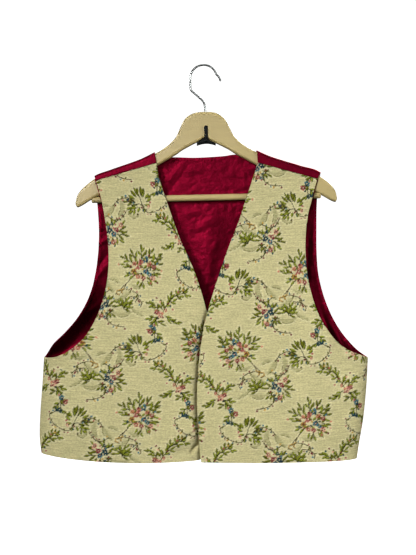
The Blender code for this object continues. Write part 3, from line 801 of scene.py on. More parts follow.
def blossom(x, z, radius, petal, shade, heart=PALE_CREAM):
    """Small uneven petals in two yarns on a dark patch, about a light heart."""
    under = NAVY if shade is TEAL else BURGUNDY
    blob(x, z, draw.uniform(0, 180), radius * 0.80, radius * 0.66, under)
    turn = draw.uniform(0, 360)
    for k in range(PETALS):
        angle = turn + 360.0 / PETALS * k + draw.uniform(-16, 16)
        place = ahead(x, z, angle, radius * draw.uniform(0.56, 0.76))
        size = radius * draw.uniform(0.30, 0.42)
        blob(*place, angle, size, size * 0.8, shade if k % 3 == 2 else petal)
    blob(x, z, 0.0, radius * 0.2, radius * 0.17, heart)


def thorny_vine(points, berries):
    """A dark scrolling stem with small pointed nubs on one side and berries on the other."""
    line = stem(points, 1.7, BROWN)
    yarns = (BURGUNDY, TEAL, ROSE, BURGUNDY, BLUE, GOLD)
    for k, place in enumerate(np.linspace(1, len(line) - 1, berries).astype(int)):
        x, z, angle = line[place]
        out = angle - 90.0 + draw.uniform(-30, 30)
        berry(*ahead(x, z, out, 3.2), yarns[k % len(yarns)], draw.uniform(1.3, 1.9))
        if k % 2:
            leaf(x, z, angle + draw.uniform(25, 70), 5.0, 2.0, OLIVE)


def ribbon(points, width):
    """A quiet sage scroll, hatched with the ground, with a broken darker line along one side."""
    line = stem(points, 0.1, SAGE)
    swell = np.sin(np.linspace(0.25, pi - 0.25, len(line))) ** 0.7
    for (x, z, angle), share in zip(line, swell):
        blob(x, z, angle, 3.2, width * 0.4 * share, SAGE, False, True)
        if draw.uniform() < 0.6:
            blob(*ahead(x, z, angle - 90.0, width * 0.4 * share), angle, 2.0, 0.7, DARK_SAGE)


print("a blossom has", PETALS, "petals")

# %% Groups of shapes
def around(middle, *rows):
    """The same rows, with the place in their first two values counted from this middle."""
    return tuple((middle[0] + x, middle[1] + z, *rest) for x, z, *rest in rows)


def twigs(*rows):
    """A row is x, z, angle, number of leaves and length of a leaf."""
    for x, z, angle, leaves, size in rows:
        twig(x, z, angle + draw.uniform(-6, 6), leaves, size)


def loose_leaves(shortest, longest, width, *rows):
    """A row is x, z and angle."""
    for row in rows:
        leaf(*row, draw.uniform(shortest, longest), width)


def blossoms(*rows):
    """A row is x, z, radius, petal, shade and perhaps heart."""
    for row in rows:
        blossom(*row)


def berries(radius, *rows):
    """A row is x, z and colour."""
    for row in rows:
        berry(*row, radius)


print("a repeat is", REPEAT_WIDTH, "by", REPEAT_HEIGHT, "mm")

# %% [markdown]
# ### The bouquet
# The largest motif is a round bunch of roses and blue blossoms with leaves all round it. Its stalks
# hang down from a small bow, beside quiet scrolls. What is drawn later lies over what came before, so
# it is built up from the back: scrolls, stalks, leaves, then blossoms and berries.

# %% Bouquet: scrolls, stalks and leaves
ribbon(((-16, -32), (-4, -36), (8, -31)), 8)
ribbon(((-60, -24), (-54, -36), (-44, -46)), 11)
ribbon(((-44, -62), (-30, -55), (-16, -44)), 9)
ribbon(((-52, -24), (-44, -24), (-34, -30)), 7)
for last in ((-34, -42), (-31, -46)):
    stem(((-10, -16), (-21, -28), last), 1.5)
for x, z, angle in ((-34, -43, 200), (-39, -46, 250), (-30, -46, 300), (-28, -41, 20), (-36, -50, 340)):
    blob(x, z, angle, 5.0, 1.0, BROWN, True)
    blob(x, z + 1.2, angle, 3.6, 0.8, GOLD, True)
twigs(
    (0, 13, 94, 3, 12), (10, 14, 60, 2, 12), (-9, 11, 122, 2, 12), (15, 9, 36, 3, 12),
    (18, 1, 12, 2, 12), (-15, 5, 152, 3, 12), (-17, -3, 180, 1, 11), (26, 12, 54, 1, 10),
    (-14, -14, 206, 1, 11), (16, -20, -34, 1, 12), (4, -26, -78, 1, 10), (22, -10, -8, 1, 10),
)
loose_leaves(
    9, 12, 4.0,
    (4, -4, 40), (-6, 6, 130), (12, -2, 12), (-8, -6, 200), (2, -12, 300), (16, -12, 340),
    (-14, -4, 160), (6, 18, 80), (-2, -24, 250), (12, -24, 300), (18, 8, 60), (-12, -16, 230),
    (0, 2, 90), (10, 6, 350),
)
print("patches so far:", len(shapes))

# %% Bouquet: blossoms, berries and vines
blossoms(
    (7, 11, 6.2, BLUE, TEAL),
    (14, 3, 4.6, SALMON, BURGUNDY, GOLD),
    (9, -9, 6.0, BLUE, TEAL, PINK),
    (-3, -1, 5.8, ROSE, SALMON),
    (-11, -10, 5.4, GOLD, SALMON, BROWN),
    (-4, -18, 5.2, SALMON, ROSE),
    (5, -20, 4.8, ROSE, BURGUNDY),
    (21, -20, 5.0, PINK, ROSE),
    (22, -2, 4.4, ROSE, BURGUNDY),
    (0, 7, 4.4, ROSE, SALMON, GOLD),
    (-11, 3, 4.2, SALMON, ROSE, GOLD),
    (15, -14, 4.2, BLUE, TEAL),
)
leaf(24, -4, -10, 11, 3.8)
berry(35, -7, SALMON, 2.0)
loose_leaves(
    7, 9, 3.2,
    (-7, 1, 80), (4, -3, 150), (11, -4, 40), (-1, -12, 200),
    (-8, -16, 130), (10, -18, 320), (18, -8, 20), (3, 9, 60),
)
leaf(-26, 1, 176, 11, 3.8)
berry(-38, 1, SALMON, 2.0)
berries(
    1.9,
    (29, -27, BURGUNDY), (18, -29, ROSE), (33, -18, PINK), (-2, 10, BURGUNDY),
    (16, -6, NAVY), (3, -6, GOLD), (-17, -1, BURGUNDY), (-8, -5, ROSE),
    (13, 18, BURGUNDY), (-19, -13, TEAL), (1, -13, NAVY), (27, 5, BLUE),
)
thorny_vine(((-74, -38), (-68, -50), (-56, -58), (-44, -54)), 5)
thorny_vine(((-15, -52), (-4, -54), (4, -62), (2, -70)), 5)
print("patches so far:", len(shapes))

# %% [markdown]
# ### The fern
# A plume of broad leaves rises from one point, and a long vine with thorns and berries swings out
# from its foot. Its leaves open like a fan, so their angles run from low on the right over the top
# to low on the left.

# %% Fern with its berry vine
FERN = (-4.0, 113.0)
FERN_LEAF_WIDTH = 4.8
for x, z, angle, size in around(
    FERN,
    (1, 3, 84, 17), (-1, 4, 102, 23), (-5, 4, 117, 24), (-9, 3, 131, 21), (-12, 0, 146, 18),
    (-13, -4, 162, 14), (5, 1, 62, 14), (7, -4, 34, 13), (4, -9, 8, 12), (-7, -9, 190, 12),
    (-11, -12, 216, 13), (-3, -13, 250, 12), (3, -14, 292, 11), (-18, -14, 200, 11),
    (-17, -18, 236, 11), (9, 2, 48, 10), (-2, 8, 74, 12), (-8, 9, 96, 12),
):
    leaf(x, z, angle + draw.uniform(-9, 9), size * draw.uniform(0.78, 0.98), FERN_LEAF_WIDTH)
stem(around(FERN, (2, -12), (-2, -2), (-6, 8)), 1.4, DARK_OLIVE)
for row in around(FERN, (-12, -6, 178, 3, 10), (-8, -14, 224, 2, 10)):
    twig(*row)
stem(around(FERN, (-16, -10), (-4, -8), (4, -12)), 1.6, DARK_OLIVE)
thorny_vine(around(FERN, (2, -10), (8, -20), (18, -21), (33, -14), (43, -3), (44, 5), (35, 9)), 11)
thorny_vine(around(FERN, (-48, -12), (-40, -3), (-26, 2), (-12, -4)), 5)
thorny_vine(around(FERN, (-26, -22), (-34, -34), (-46, -37), (-58, -30)), 6)
blossoms(*around(FERN, (31, 14, 5.2, TEAL, TEAL, BLUE), (12, -12, 3.2, PINK, SALMON)))
fern_berries = ((-28, 5, BLUE), (-24, -1, TEAL), (-6, -26, BROWN), (-34, 3, OLIVE), (14, -4, ROSE))
berries(2.0, *around(FERN, *fern_berries))
ribbon(around(FERN, (-36, -4), (-32, -18), (-38, -32)), 11)
ribbon(around(FERN, (-22, -24), (-14, -30), (-4, -28)), 7)
print("patches so far:", len(shapes))

# %% [markdown]
# ### The posy
# A small bunch with two blue blossoms in its middle and short twigs all round.

# %% Blue posy
POSY = (-52.0, 56.0)
twigs(*around(
    POSY,
    (8, 2, 24, 1, 13), (10, -4, -6, 2, 12), (8, -9, -40, 1, 13), (2, -10, -70, 1, 12),
    (-6, 5, 140, 1, 12), (-8, -1, 174, 1, 12), (-7, -8, 212, 2, 11), (12, 9, 46, 1, 11),
    (-3, -12, 248, 1, 11), (0, 10, 102, 1, 11),
))
blossoms(*around(
    POSY,
    (-4, 2, 5.6, TEAL, TEAL, PALE_CREAM),
    (3, -4, 5.4, BLUE, TEAL, PINK),
    (7, 4, 4.6, ROSE, BURGUNDY),
    (-2, 13, 3.2, TEAL, TEAL),
    (14, 12, 5.0, PINK, SALMON),
    (3, -18, 4.6, ROSE, SALMON),
    (-4, -20, 4.0, BLUE, TEAL),
))
berries(1.8, *around(
    POSY,
    (-8, -2, NAVY), (9, 0, BURGUNDY), (2, 6, ROSE), (-2, -10, GOLD),
    (7, -14, PINK), (-7, 8, BLUE), (6, -24, TEAL),
))
print("patches so far:", len(shapes))

# %% [markdown]
# ### The sprays
# A long leafy spray bends through the repeat and carries roses in its middle, and a smaller one
# grows over a curling vine. Both are twigs set along stems.

# %% Leafy spray
SPRAY = (59.0, 56.0)
stem(around(SPRAY, (4, -10), (-6, 8), (-18, 22), (-34, 27)), 1.6, DARK_OLIVE)
stem(around(SPRAY, (8, -12), (16, -26), (22, -44), (22, -56)), 1.6, DARK_OLIVE)
twigs(*around(
    SPRAY,
    (0, -2, 118, 2, 11), (-6, 8, 152, 2, 10), (-8, 12, 96, 2, 10), (-16, 20, 172, 2, 10),
    (-20, 23, 112, 2, 9), (-30, 26, 196, 2, 9), (-30, 27, 140, 1, 9), (8, -6, 44, 3, 10),
    (18, 4, 22, 2, 9), (-2, -14, 222, 3, 10), (-12, -22, 196, 2, 9), (12, -16, -8, 3, 10),
    (14, -22, -40, 2, 10), (12, -24, 214, 1, 10), (20, -38, -20, 2, 9), (20, -44, 216, 2, 9),
    (4, -2, 74, 2, 10), (24, -54, -40, 1, 9),
))
blossoms(*around(
    SPRAY,
    (6, -12, 6.0, PINK, SALMON),
    (13, -8, 4.8, ROSE, BURGUNDY),
    (-2, -4, 3.4, SALMON, ROSE),
    (23, -34, 5.2, BLUE, TEAL),
    (30, -41, 4.8, ROSE, BURGUNDY),
    (22, -57, 3.8, TEAL, TEAL, OLIVE),
))
berries(1.8, *around(
    SPRAY,
    (-10, 3, TEAL), (-14, -2, ROSE), (-6, 8, BURGUNDY), (14, 16, BURGUNDY), (20, 12, TEAL),
    (-30, 31, GOLD), (2, -16, BURGUNDY), (10, -18, NAVY), (18, -30, ROSE), (27, -47, NAVY),
    (-22, 27, ROSE), (8, 10, PINK),
))
print("patches so far:", len(shapes))

# %% Small spray over its vine
for x, z, angle, leaves in (
    (-25, -72, 70, 4), (-26, -72, 112, 3), (-25, -70, 40, 3), (-27, -70, 148, 3), (-24, -74, 14, 2),
):
    twig(x, z, angle, leaves, 9.0)
ribbon(((-42, -80), (-28, -84), (-10, -78)), 9)
ribbon(((-12, -72), (-4, -78), (8, -84)), 7)
thorny_vine(((-45, -76), (-54, -88), (-48, -98), (-36, -103), (-22, -104)), 7)
thorny_vine(((-6, -60), (-2, -50), (-12, -43), (-24, -40)), 5)
print("patches in half a repeat:", len(shapes))

# %% [markdown]
# ### From the list to the cloth
# On the loom each crossing of the threads takes the yarn of the patch that lies over it, and here
# each point of the fine grid does. Testing every patch at every point would be slow, so a patch looks
# only at the points within its reach. The ground is a shade paler round the coloured yarns, as on the
# real cloth. Scrolls are hatched, so the ground shows between their lines.

# %% Weave the pattern
HALO_REACH = 2.2
HALO_SHARE = 0.55
HATCH_STEP = 3.4
EDGE_SOFTNESS = 0.8
HALO_SOFTNESS = 0.35


def smooth_cover(depth, softness):
    """0 outside a patch and 1 inside it, with a straight slope as wide as the softness."""
    return np.clip(depth / softness + 0.5, 0.0, 1.0)


def woven_colours(across, up):
    """Colour of each point of the cloth, from its place across and up the grain in millimetres.

    A patch covers a point where 1 - (along/l)^2 - |side|/w is over 0 for a pointed one, or
    1 - (along/l)^2 - (side/w)^2 for a round one. The place is wrapped to the nearest repeat. The
    weft steps a little from row to row, so the edges of the patches are ragged.
    """
    ragged = across + 0.45 * np.sin(up * 2.2 + 2.0 * np.sin(across * 0.31))
    hatch = 0.55 + 0.25 * np.sin(2.0 * pi * up / HATCH_STEP + 1.6 * np.sin(across * 0.16))
    colours = np.tile(CREAM, (len(across), 1))
    halo = np.zeros(len(across))
    layers = []
    for x, z, angle, half_length, half_width, colour, pointed, hatched in shapes:
        reach = half_length + 1.6 * HALO_REACH
        for mirrored in (False, True):
            centre_x = MIRROR_SHIFT - x if mirrored else x
            centre_z = z - REPEAT_HEIGHT / 2 if mirrored else z
            turned = pi - angle if mirrored else angle
            dz = (up - centre_z + REPEAT_HEIGHT / 2) % REPEAT_HEIGHT - REPEAT_HEIGHT / 2
            near = np.flatnonzero(np.abs(dz) < reach)
            dz = dz[near]
            dx = (ragged[near] - centre_x + REPEAT_WIDTH / 2) % REPEAT_WIDTH - REPEAT_WIDTH / 2
            beside = np.abs(dx) < reach
            near, dx, dz = near[beside], dx[beside], dz[beside]
            along = dx * cos(turned) + dz * sin(turned)
            side = np.abs(dz * cos(turned) - dx * sin(turned))
            inside = 1.0 - (along / half_length) ** 2 - (side / half_width) ** (1 if pointed else 2)
            cover = smooth_cover(inside * half_width, EDGE_SOFTNESS)
            layers.append((near, cover * hatch[near] if hatched else cover, colour))
            if not hatched:
                distance = np.hypot(along / (half_length + HALO_REACH), side / (half_width + HALO_REACH))
                halo[near] = np.maximum(halo[near], smooth_cover(1.0 - distance, HALO_SOFTNESS))
    colours += (PALE_CREAM - CREAM) * halo[:, None] * HALO_SHARE
    for near, cover, colour in layers:
        colours[near] += (colour - colours[near]) * cover[:, None]
    return colours


print("the paler ground reaches", HALO_REACH, "mm round each patch")

# %% [markdown]
# ### The grain
# A pattern belongs to the cloth and not to the air round it. So a point's place is measured along the
# cloth, from the front edge, and the pattern wraps round the side. The lean is how far the threads
# hang askew. The same places, in metres, go into a UV map for the finishes.

# %% Grain of the cloth
GRAIN = {
    "left": {"bouquet": (-117.0, -592.0), "lean": radians(-2.6)},
    "right": {"bouquet": (165.0, -350.0), "lean": radians(3.5)},
}


def grain_places(points, side):
    """Place of each point across and up the grain, in millimetres from the middle of a bouquet.

    Across is the length along the cloth from the front edge, so the pattern wraps round the side.
    """
    steps = np.linalg.norm(np.diff(points[:, :, :2], axis=1), axis=2)
    reach = np.concatenate([np.zeros((len(points), 1)), np.cumsum(steps[:, ::-1], axis=1)], axis=1)[:, ::-1]
    flat_x = points[:, -1:, 0] - reach * (1.0 if side == "left" else -1.0)
    bouquet_x, bouquet_z = GRAIN[side]["bouquet"]
    lean = GRAIN[side]["lean"]
    dx = flat_x - bouquet_x
    dz = points[:, :, 2] - bouquet_z
    return (dx * cos(lean) + dz * sin(lean)).ravel(), (dz * cos(lean) - dx * sin(lean)).ravel()


def set_grain(obj, source, across, up):
    """The grain as a UV map, in metres."""
    layer = obj.data.uv_layers.new(name="grain")
    corners = np.empty(len(obj.data.loops), np.int32)
    obj.data.loops.foreach_get("vertex_index", corners)
    place = source[corners]
    layer.data.foreach_set("uv", (np.stack([across[place], up[place]], axis=1) * MM).ravel())


def set_colours(obj, source, colours):
    """The woven colours as an attribute of the points."""
    layer = obj.data.color_attributes.new(name="woven", type="FLOAT_COLOR", domain="POINT")
    rgba = np.ones((len(source), 4), np.float32)
    rgba[:, :3] = colours[source]
    layer.data.foreach_set("color", rgba.ravel())


print("the middle of a bouquet lies at", ", ".join(str(GRAIN[side]["bouquet"]) for side in GRAIN))

# %% [markdown]
# ## Finishes
# Each finish is a Principled shader with its own small network. Cloth patterns read the grain map,
# so they follow the cloth round its sides, and wood, wire and plastic read the object's own
# coordinates.

# %% A helper for shader networks
def finish(name, roughness, **constants):
    """A new material whose Principled shader has these constants, such as Metallic=1.0."""
    material = bpy.data.materials.new(name)
    material.use_nodes = True
    shader = material.node_tree.nodes["Principled BSDF"]
    shader.inputs["Roughness"].default_value = roughness
    for socket, value in constants.items():
        shader.inputs[socket.replace("_", " ")].default_value = value
    return material


def node(material, kind, inputs=None, **settings):
    """A node with its settings. inputs are values, or outputs of other nodes, by socket name."""
    new = material.node_tree.nodes.new("ShaderNode" + kind)
    for setting, value in settings.items():
        setattr(new, setting, value)
    for socket, value in (inputs or {}).items():
        if isinstance(value, bpy.types.NodeSocket):
            material.node_tree.links.new(value, new.inputs[socket])
        else:
            new.inputs[socket].default_value = value
    return new


def link_shader(material, socket, output):
    """Links an output to a socket of the material's Principled shader."""
    shader = material.node_tree.nodes["Principled BSDF"]
    material.node_tree.links.new(output, shader.inputs[socket])


def grain_noise(material, place, size, low, high, detail=2.0, offset=0.0):
    """Noise whose patches have this size in metres, mapped to the range from low to high."""
    scale = tuple(1.0 / value for value in size)
    moved = {"Vector": place, "Location": (offset, offset, 0.0), "Scale": scale}
    vector = node(material, "Mapping", moved).outputs["Vector"]
    noise = node(material, "TexNoise", {"Vector": vector, "Scale": 1.0, "Detail": detail}).outputs["Fac"]
    limits = {"Value": noise, "From Min": 0.3, "From Max": 0.7, "To Min": low, "To Max": high}
    return node(material, "MapRange", limits).outputs["Result"]


def product(material, *values):
    """The values multiplied together."""
    result = values[0]
    for value in values[1:]:
        result = node(material, "Math", {0: result, 1: value}, operation="MULTIPLY").outputs[0]
    return result


def shaded_colour(material, colour, shade):
    """A colour multiplied by a shade, linked to the base colour."""
    result = node(material, "VectorMath", {0: colour, 1: shade}, operation="MULTIPLY")
    link_shader(material, "Base Color", result.outputs["Vector"])


def relief(material, height, strength, depth, under=None):
    """Bump of this depth in metres, over the bump given as under."""
    inputs = {"Height": height, "Strength": strength, "Distance": depth}
    if under is not None:
        inputs["Normal"] = under
    return node(material, "Bump", inputs).outputs["Normal"]


print("noise sizes and bump depths are in metres")

# %% [markdown]
# ### Tapestry
# The ground is woven with slubby weft: thin darker and lighter lines of uneven length run across it,
# finer ones run up it, and the floats of the weave give a slight relief. The pattern's colours come
# from the attribute, and the weave multiplies them.

# %% Tapestry finish
tapestry = finish("tapestry cloth", 0.88, Specular_IOR_Level=0.2)
grain = node(tapestry, "UVMap", uv_map="grain").outputs["UV"]
slubs = grain_noise(tapestry, grain, (0.026, 0.0020, 1.0), 0.78, 1.11, 3.0)
floats = grain_noise(tapestry, grain, (0.0034, 0.0020, 1.0), 0.78, 1.16, 2.0, 3.1)
warp = grain_noise(tapestry, grain, (0.0016, 0.016, 1.0), 0.95, 1.05, 2.0, 7.7)
patches = grain_noise(tapestry, grain, (0.07, 0.05, 1.0), 0.96, 1.04, 2.0, 1.3)
weave = product(tapestry, slubs, floats, warp, patches)
shaded_colour(tapestry, node(tapestry, "Attribute", attribute_name="woven").outputs["Color"], weave)
link_shader(tapestry, "Normal", relief(tapestry, weave, 0.35, 0.0006))
print("finish:", tapestry.name)

# %% [markdown]
# ### Satin
# Satin is smooth floats of one yarn, so it gives a broad soft gloss in its own colour and goes nearly
# black where it looks away from the light. A part-metallic shader tints the gloss burgundy, and the
# tint keeps it burgundy at a glancing angle. Thin satin never lies quite flat, so a noise of patches
# about a centimetre wide rumples it, more on the light lining than on the outside.

# %% Satin finish
SATIN_COLOUR = (0.135, 0.0022, 0.0130)
LINING_COLOUR = (0.150, 0.0018, 0.0135)
GLANCING_TINT = (1.0, 0.16, 0.25, 1.0)
SATIN_RUMPLE = 0.4
LINING_RUMPLE = 0.85
RUMPLE_DEPTH = 0.0014


def satin_finish(name, base, rumple):
    """Satin of the base colour, with threads in its bump and rumples of this strength under them."""
    material = finish(name, 0.54, Metallic=0.88, Specular_IOR_Level=0.12, Specular_Tint=GLANCING_TINT)
    grain = node(material, "UVMap", uv_map="grain").outputs["UV"]
    streaks = grain_noise(material, grain, (0.003, 0.05, 1.0), 0.9, 1.1, 3.0)
    clouds = grain_noise(material, grain, (0.05, 0.06, 1.0), 0.86, 1.14, 2.0, 4.2)
    shaded_colour(material, base, product(material, streaks, clouds))
    threads = grain_noise(material, grain, (0.0012, 0.02, 1.0), 0.0, 1.0, 2.0, 9.0)
    crinkles = grain_noise(material, grain, (0.014, 0.012, 1.0), 0.0, 1.0, 3.0, 5.3)
    rumpled = relief(material, crinkles, rumple, RUMPLE_DEPTH)
    link_shader(material, "Normal", relief(material, threads, 0.12, 0.0003, rumpled))
    return material


satin = satin_finish("burgundy satin", SATIN_COLOUR, SATIN_RUMPLE)
lining_satin = satin_finish("burgundy lining satin", LINING_COLOUR, LINING_RUMPLE)
print("finishes:", satin.name, "and", lining_satin.name)

# %% [markdown]
# ### Wood, wire and plastic
# The beech is pale and lacquered, with a faint grain along the arms and short darker flecks. The wire
# is chrome that many rails have rubbed, so its roughness varies, and the fitting is moulded black
# plastic. Noise stretched along one axis is enough for a grain that is hardly seen.

# %% Hanger finishes
WOOD_COLOUR = (0.44, 0.345, 0.138)
CHROME_COLOUR = (0.30, 0.32, 0.31, 1.0)
CHROME_TINT = (0.5, 0.5, 0.5, 1.0)
BLACK_COLOUR = (0.003, 0.004, 0.004, 1.0)

wood = finish("lacquered beech", 0.42, Coat_Weight=0.15, Coat_Roughness=0.25)
place = node(wood, "TexCoord").outputs["Object"]
level = node(wood, "Mapping", {"Vector": place, "Rotation": (0.0, HANGER_TILT, 0.0)}).outputs["Vector"]
bands = grain_noise(wood, level, (0.22, 0.02, 0.009), 0.96, 1.035, 4.0)
flecks = grain_noise(wood, level, (0.014, 0.003, 0.0012), 0.95, 1.03, 2.0, 2.4)
tone = product(wood, bands, flecks)
shaded_colour(wood, WOOD_COLOUR, tone)
link_shader(wood, "Normal", relief(wood, tone, 0.15, 0.0004))

chrome = finish("chrome wire", 0.3, Metallic=1.0, Base_Color=CHROME_COLOUR, Specular_Tint=CHROME_TINT)
place = node(chrome, "TexCoord").outputs["Object"]
rubbed = grain_noise(chrome, place, (0.004, 0.004, 0.004), 0.22, 0.4, 3.0)
link_shader(chrome, "Roughness", rubbed)

black = finish("black plastic", 0.5, Base_Color=BLACK_COLOUR, Specular_IOR_Level=0.1)
place = node(black, "TexCoord").outputs["Object"]
moulded = grain_noise(black, place, (0.0015, 0.0015, 0.0015), 0.0, 1.0, 2.0)
link_shader(black, "Normal", relief(black, moulded, 0.08, 0.0002))
print("finishes:", ", ".join(material.name for material in (wood, chrome, black)))

# %% [markdown]
# ## The fronts and their linings
# Each front is one sheet of tapestry with turned edges, and its satin lining lies just inside it. At
# the upper half of an armhole the lining has rolled out a little, so a thin burgundy line shows. The
# lining could have a cut of its own, but the same grid at half the count keeps the two together.

# %% Make the fronts
LINING_PEEP = 1.3
PEEP_STARTS = -262.0
PEEP_FADE = 20.0
PEEP_COLUMNS = 8
for side, to_middle, points in (("left", 1.0, left_front), ("right", -1.0, right_front)):
    inward = inward_of(points, towards=1)
    inward[:FRONT_SKIRT_ROWS, 0] = (to_middle, 0.0, 0.0)
    across, up = grain_places(points, side)
    panel, source = cloth_mesh("tapestry_" + side, points, inward, 0.0, FRONT_CLOTH)
    set_grain(panel, source, across, up)
    set_colours(panel, source, woven_colours(across, up))
    finish_piece(panel, tapestry, ["front_" + side])
    inner = points[::2, ::2].copy()
    peep = LINING_PEEP * ease((inner[:, :1, 2] - PEEP_STARTS) / PEEP_FADE)
    near_edge = ease(1.0 - np.arange(inner.shape[1]) / PEEP_COLUMNS)
    inner[..., 0] -= peep * near_edge * to_middle
    lining, source = cloth_mesh("lining_" + side, inner, inward[::2, ::2], FRONT_CLOTH + SEAM_GAP, SATIN)
    set_grain(lining, source, *(part[::2, ::2].ravel() for part in (points[..., 0], points[..., 2])))
    finish_piece(lining, lining_satin, ["front_" + side + "_lining"])
    print(side, "front:", len(panel.data.polygons), "faces, lining:", len(lining.data.polygons))

# %% [markdown]
# ## The satin back and its lining
# Both layers of the back are cut alike, sewn together and turned right side out, so each has turned
# edges round the neck, the armholes and the hem. One loop makes both from the same grid.

# %% Make the back
inward = inward_of(back, towards=-1)
inward[:BACK_SKIRT_ROWS, 0] = (1.0, 0.0, 0.0)
inward[:BACK_SKIRT_ROWS, -1] = (-1.0, 0.0, 0.0)
for name, start, material, slot, replaced in (
    ("satin_back", 0.0, satin, "satin", "back"),
    ("satin_back_lining", SATIN + SEAM_GAP, lining_satin, "lining_satin", "back_lining"),
):
    layer, source = cloth_mesh(name, back, inward, start, SATIN, back_kept)
    set_grain(layer, source, back[..., 0].ravel(), back[..., 2].ravel())
    finish_piece(layer, material, [replaced])
    print(name, len(layer.data.polygons), "faces")

# %% [markdown]
# ## The hanger
# The real hanger is a board with rounded edges, a bar, a wire and a small fitting. Primitive shapes
# with a bevel would do for some of it, but the arms taper and the wire bends. So all of it is lofted:
# a closed section, either a rectangle with quarter-round corners or a circle, stands at each place
# along a line, and quads join it to the next. Near a rounded tip the section shrinks on a quarter
# circle. Everything is made on the level hanger and turned to its tilt at the end.

# %% Rounded sections carried along a line
CORNER_STEPS = 6
SUPPORT = 0.6
SUPPORT_SHARE = 0.4


def rounded_sections(half_wide, half_high, radius):
    """Rings of a rectangle with corners c + r (cos a, sin a), and a support point beside each."""
    angles = np.linspace(0.0, pi / 2, CORNER_STEPS)
    beside_wide = np.minimum(SUPPORT, SUPPORT_SHARE * (half_wide - radius))
    beside_high = np.minimum(SUPPORT, SUPPORT_SHARE * (half_high - radius))
    rings = []
    for k, (side_wide, side_high) in enumerate(((1, 1), (-1, 1), (-1, -1), (1, -1))):
        turn = angles + k * pi / 2
        corner = side_wide * (half_wide - radius), side_high * (half_high - radius)
        wide = corner[0][:, None] + radius[:, None] * np.cos(turn)
        high = corner[1][:, None] + radius[:, None] * np.sin(turn)
        before, after = (beside_high, beside_wide) if k % 2 == 0 else (beside_wide, beside_high)
        ways = np.stack([-np.sin(turn[[0, -1]]), np.cos(turn[[0, -1]])])
        first = np.stack([wide[:, 0] - before * ways[0, 0], high[:, 0] - before * ways[1, 0]], axis=1)
        last = np.stack([wide[:, -1] + after * ways[0, 1], high[:, -1] + after * ways[1, 1]], axis=1)
        round_corner = np.stack([wide, high], axis=2)
        rings.append(np.concatenate([first[:, None], round_corner, last[:, None]], axis=1))
    return np.concatenate(rings, axis=1)


def loft_faces(rings, sides):
    """Quads between the rings and a flat cap at both ends."""
    index = np.arange(sides)
    after = (index + 1) % sides
    near = np.arange(rings - 1)[:, None] * sides
    quads = np.stack([near + index, near + after, near + sides + after, near + sides + index], axis=2)
    caps = [index[::-1].tolist(), ((rings - 1) * sides + index).tolist()]
    return quads.reshape(-1, 4).tolist() + caps


def hanger_piece(name, points, faces, material, node_name):
    """A smooth object, turned with the hanger to its tilt. Its faces are made to point outwards."""
    x, z = tilted(points[..., 0], points[..., 2])
    obj = new_piece(name, np.stack([x, points[..., 1], z], axis=-1).reshape(-1, 3), faces)
    shell = bmesh.new()
    shell.from_mesh(obj.data)
    bmesh.ops.recalc_face_normals(shell, faces=shell.faces)
    shell.to_mesh(obj.data)
    shell.free()
    finish_piece(obj, material, [node_name])
    print(name, len(obj.data.polygons), "faces")


def tip_inset(distance, radius):
    """How far a section shrinks at this distance from a rounded tip: r - sqrt(r^2 - (r - d)^2)."""
    return radius - np.sqrt(np.maximum(radius**2 - np.maximum(radius - distance, 0.0) ** 2, 0.0))


# %% [markdown]
# ### Wooden body
# The body is sawn from a board and its edges are rounded over with a cutter. A section stands at each
# place along it, as high as the arm is there. The top edge is one curve through both arms, so that
# the hump has no corner in its middle.

# %% Wooden body
EDGE_ROUND = 4.8
TIP_ROUND = 2.8
SOFTEST_CORNER = 0.96

places = np.concatenate([-arm_line[:0:-1, 0], arm_line[:, 0]])
mirrored_tops = [(-row[0], row[1]) for row in HANGER_STATIONS[:0:-1]]
top_line = smooth_rows((*mirrored_tops, *(row[:2] for row in HANGER_STATIONS)), 3 * ARM_STEPS)
tops = np.interp(places, top_line[:, 0], top_line[:, 1])
bottoms = np.interp(np.abs(places), arm_line[:, 0], arm_line[:, 2])
shrink = tip_inset(arm_line[-1, 0] - np.abs(places), TIP_ROUND)
half_high = (tops - bottoms) / 2 - shrink
half_thick = WOOD_THICKNESS / 2 - shrink
corner = np.minimum(EDGE_ROUND, SOFTEST_CORNER * np.minimum(half_high, half_thick))
section = rounded_sections(half_thick, half_high, corner)
points = np.stack(
    [np.broadcast_to(places[:, None], section.shape[:2]), section[..., 0], section[..., 1]], axis=2
)
points[..., 2] += ((tops + bottoms) / 2)[:, None]
hanger_piece("wooden_body", points, loft_faces(*points.shape[:2]), wood, "hanger_body")

# %% [markdown]
# ### Trouser bar
# A round rod goes from arm to arm, so its ends show beside the armholes. Its circles crowd where the
# ends are rounded.

# %% Trouser bar
BAR_RADIUS = 5.4
BAR_HALF_LENGTH = 196.0
BAR_HEIGHT = -225.2
BAR_SIDES = 32
BAR_TIP = 2.5

reach = np.concatenate([np.linspace(-1.0, -0.98, 8), np.linspace(-0.9, 0.9, 30), np.linspace(0.98, 1.0, 8)])
places = reach * BAR_HALF_LENGTH
radius = BAR_RADIUS - tip_inset(BAR_HALF_LENGTH - np.abs(places), BAR_TIP)
turn = np.arange(BAR_SIDES) * 2.0 * pi / BAR_SIDES
points = np.stack(
    [
        np.broadcast_to(places[:, None], (len(places), BAR_SIDES)),
        radius[:, None] * np.cos(turn),
        BAR_HEIGHT + radius[:, None] * np.sin(turn),
    ],
    axis=2,
)
hanger_piece("trouser_bar", points, loft_faces(*points.shape[:2]), wood, "hanger_bar")

# %% [markdown]
# ### Black fitting
# A small plastic piece sits in the middle of the hump: an upright strip in front of the wood, with a
# round top, and a foot under the wood with a shallow arch below. They are two lofts, because the strip
# is carried upwards and the foot sideways.

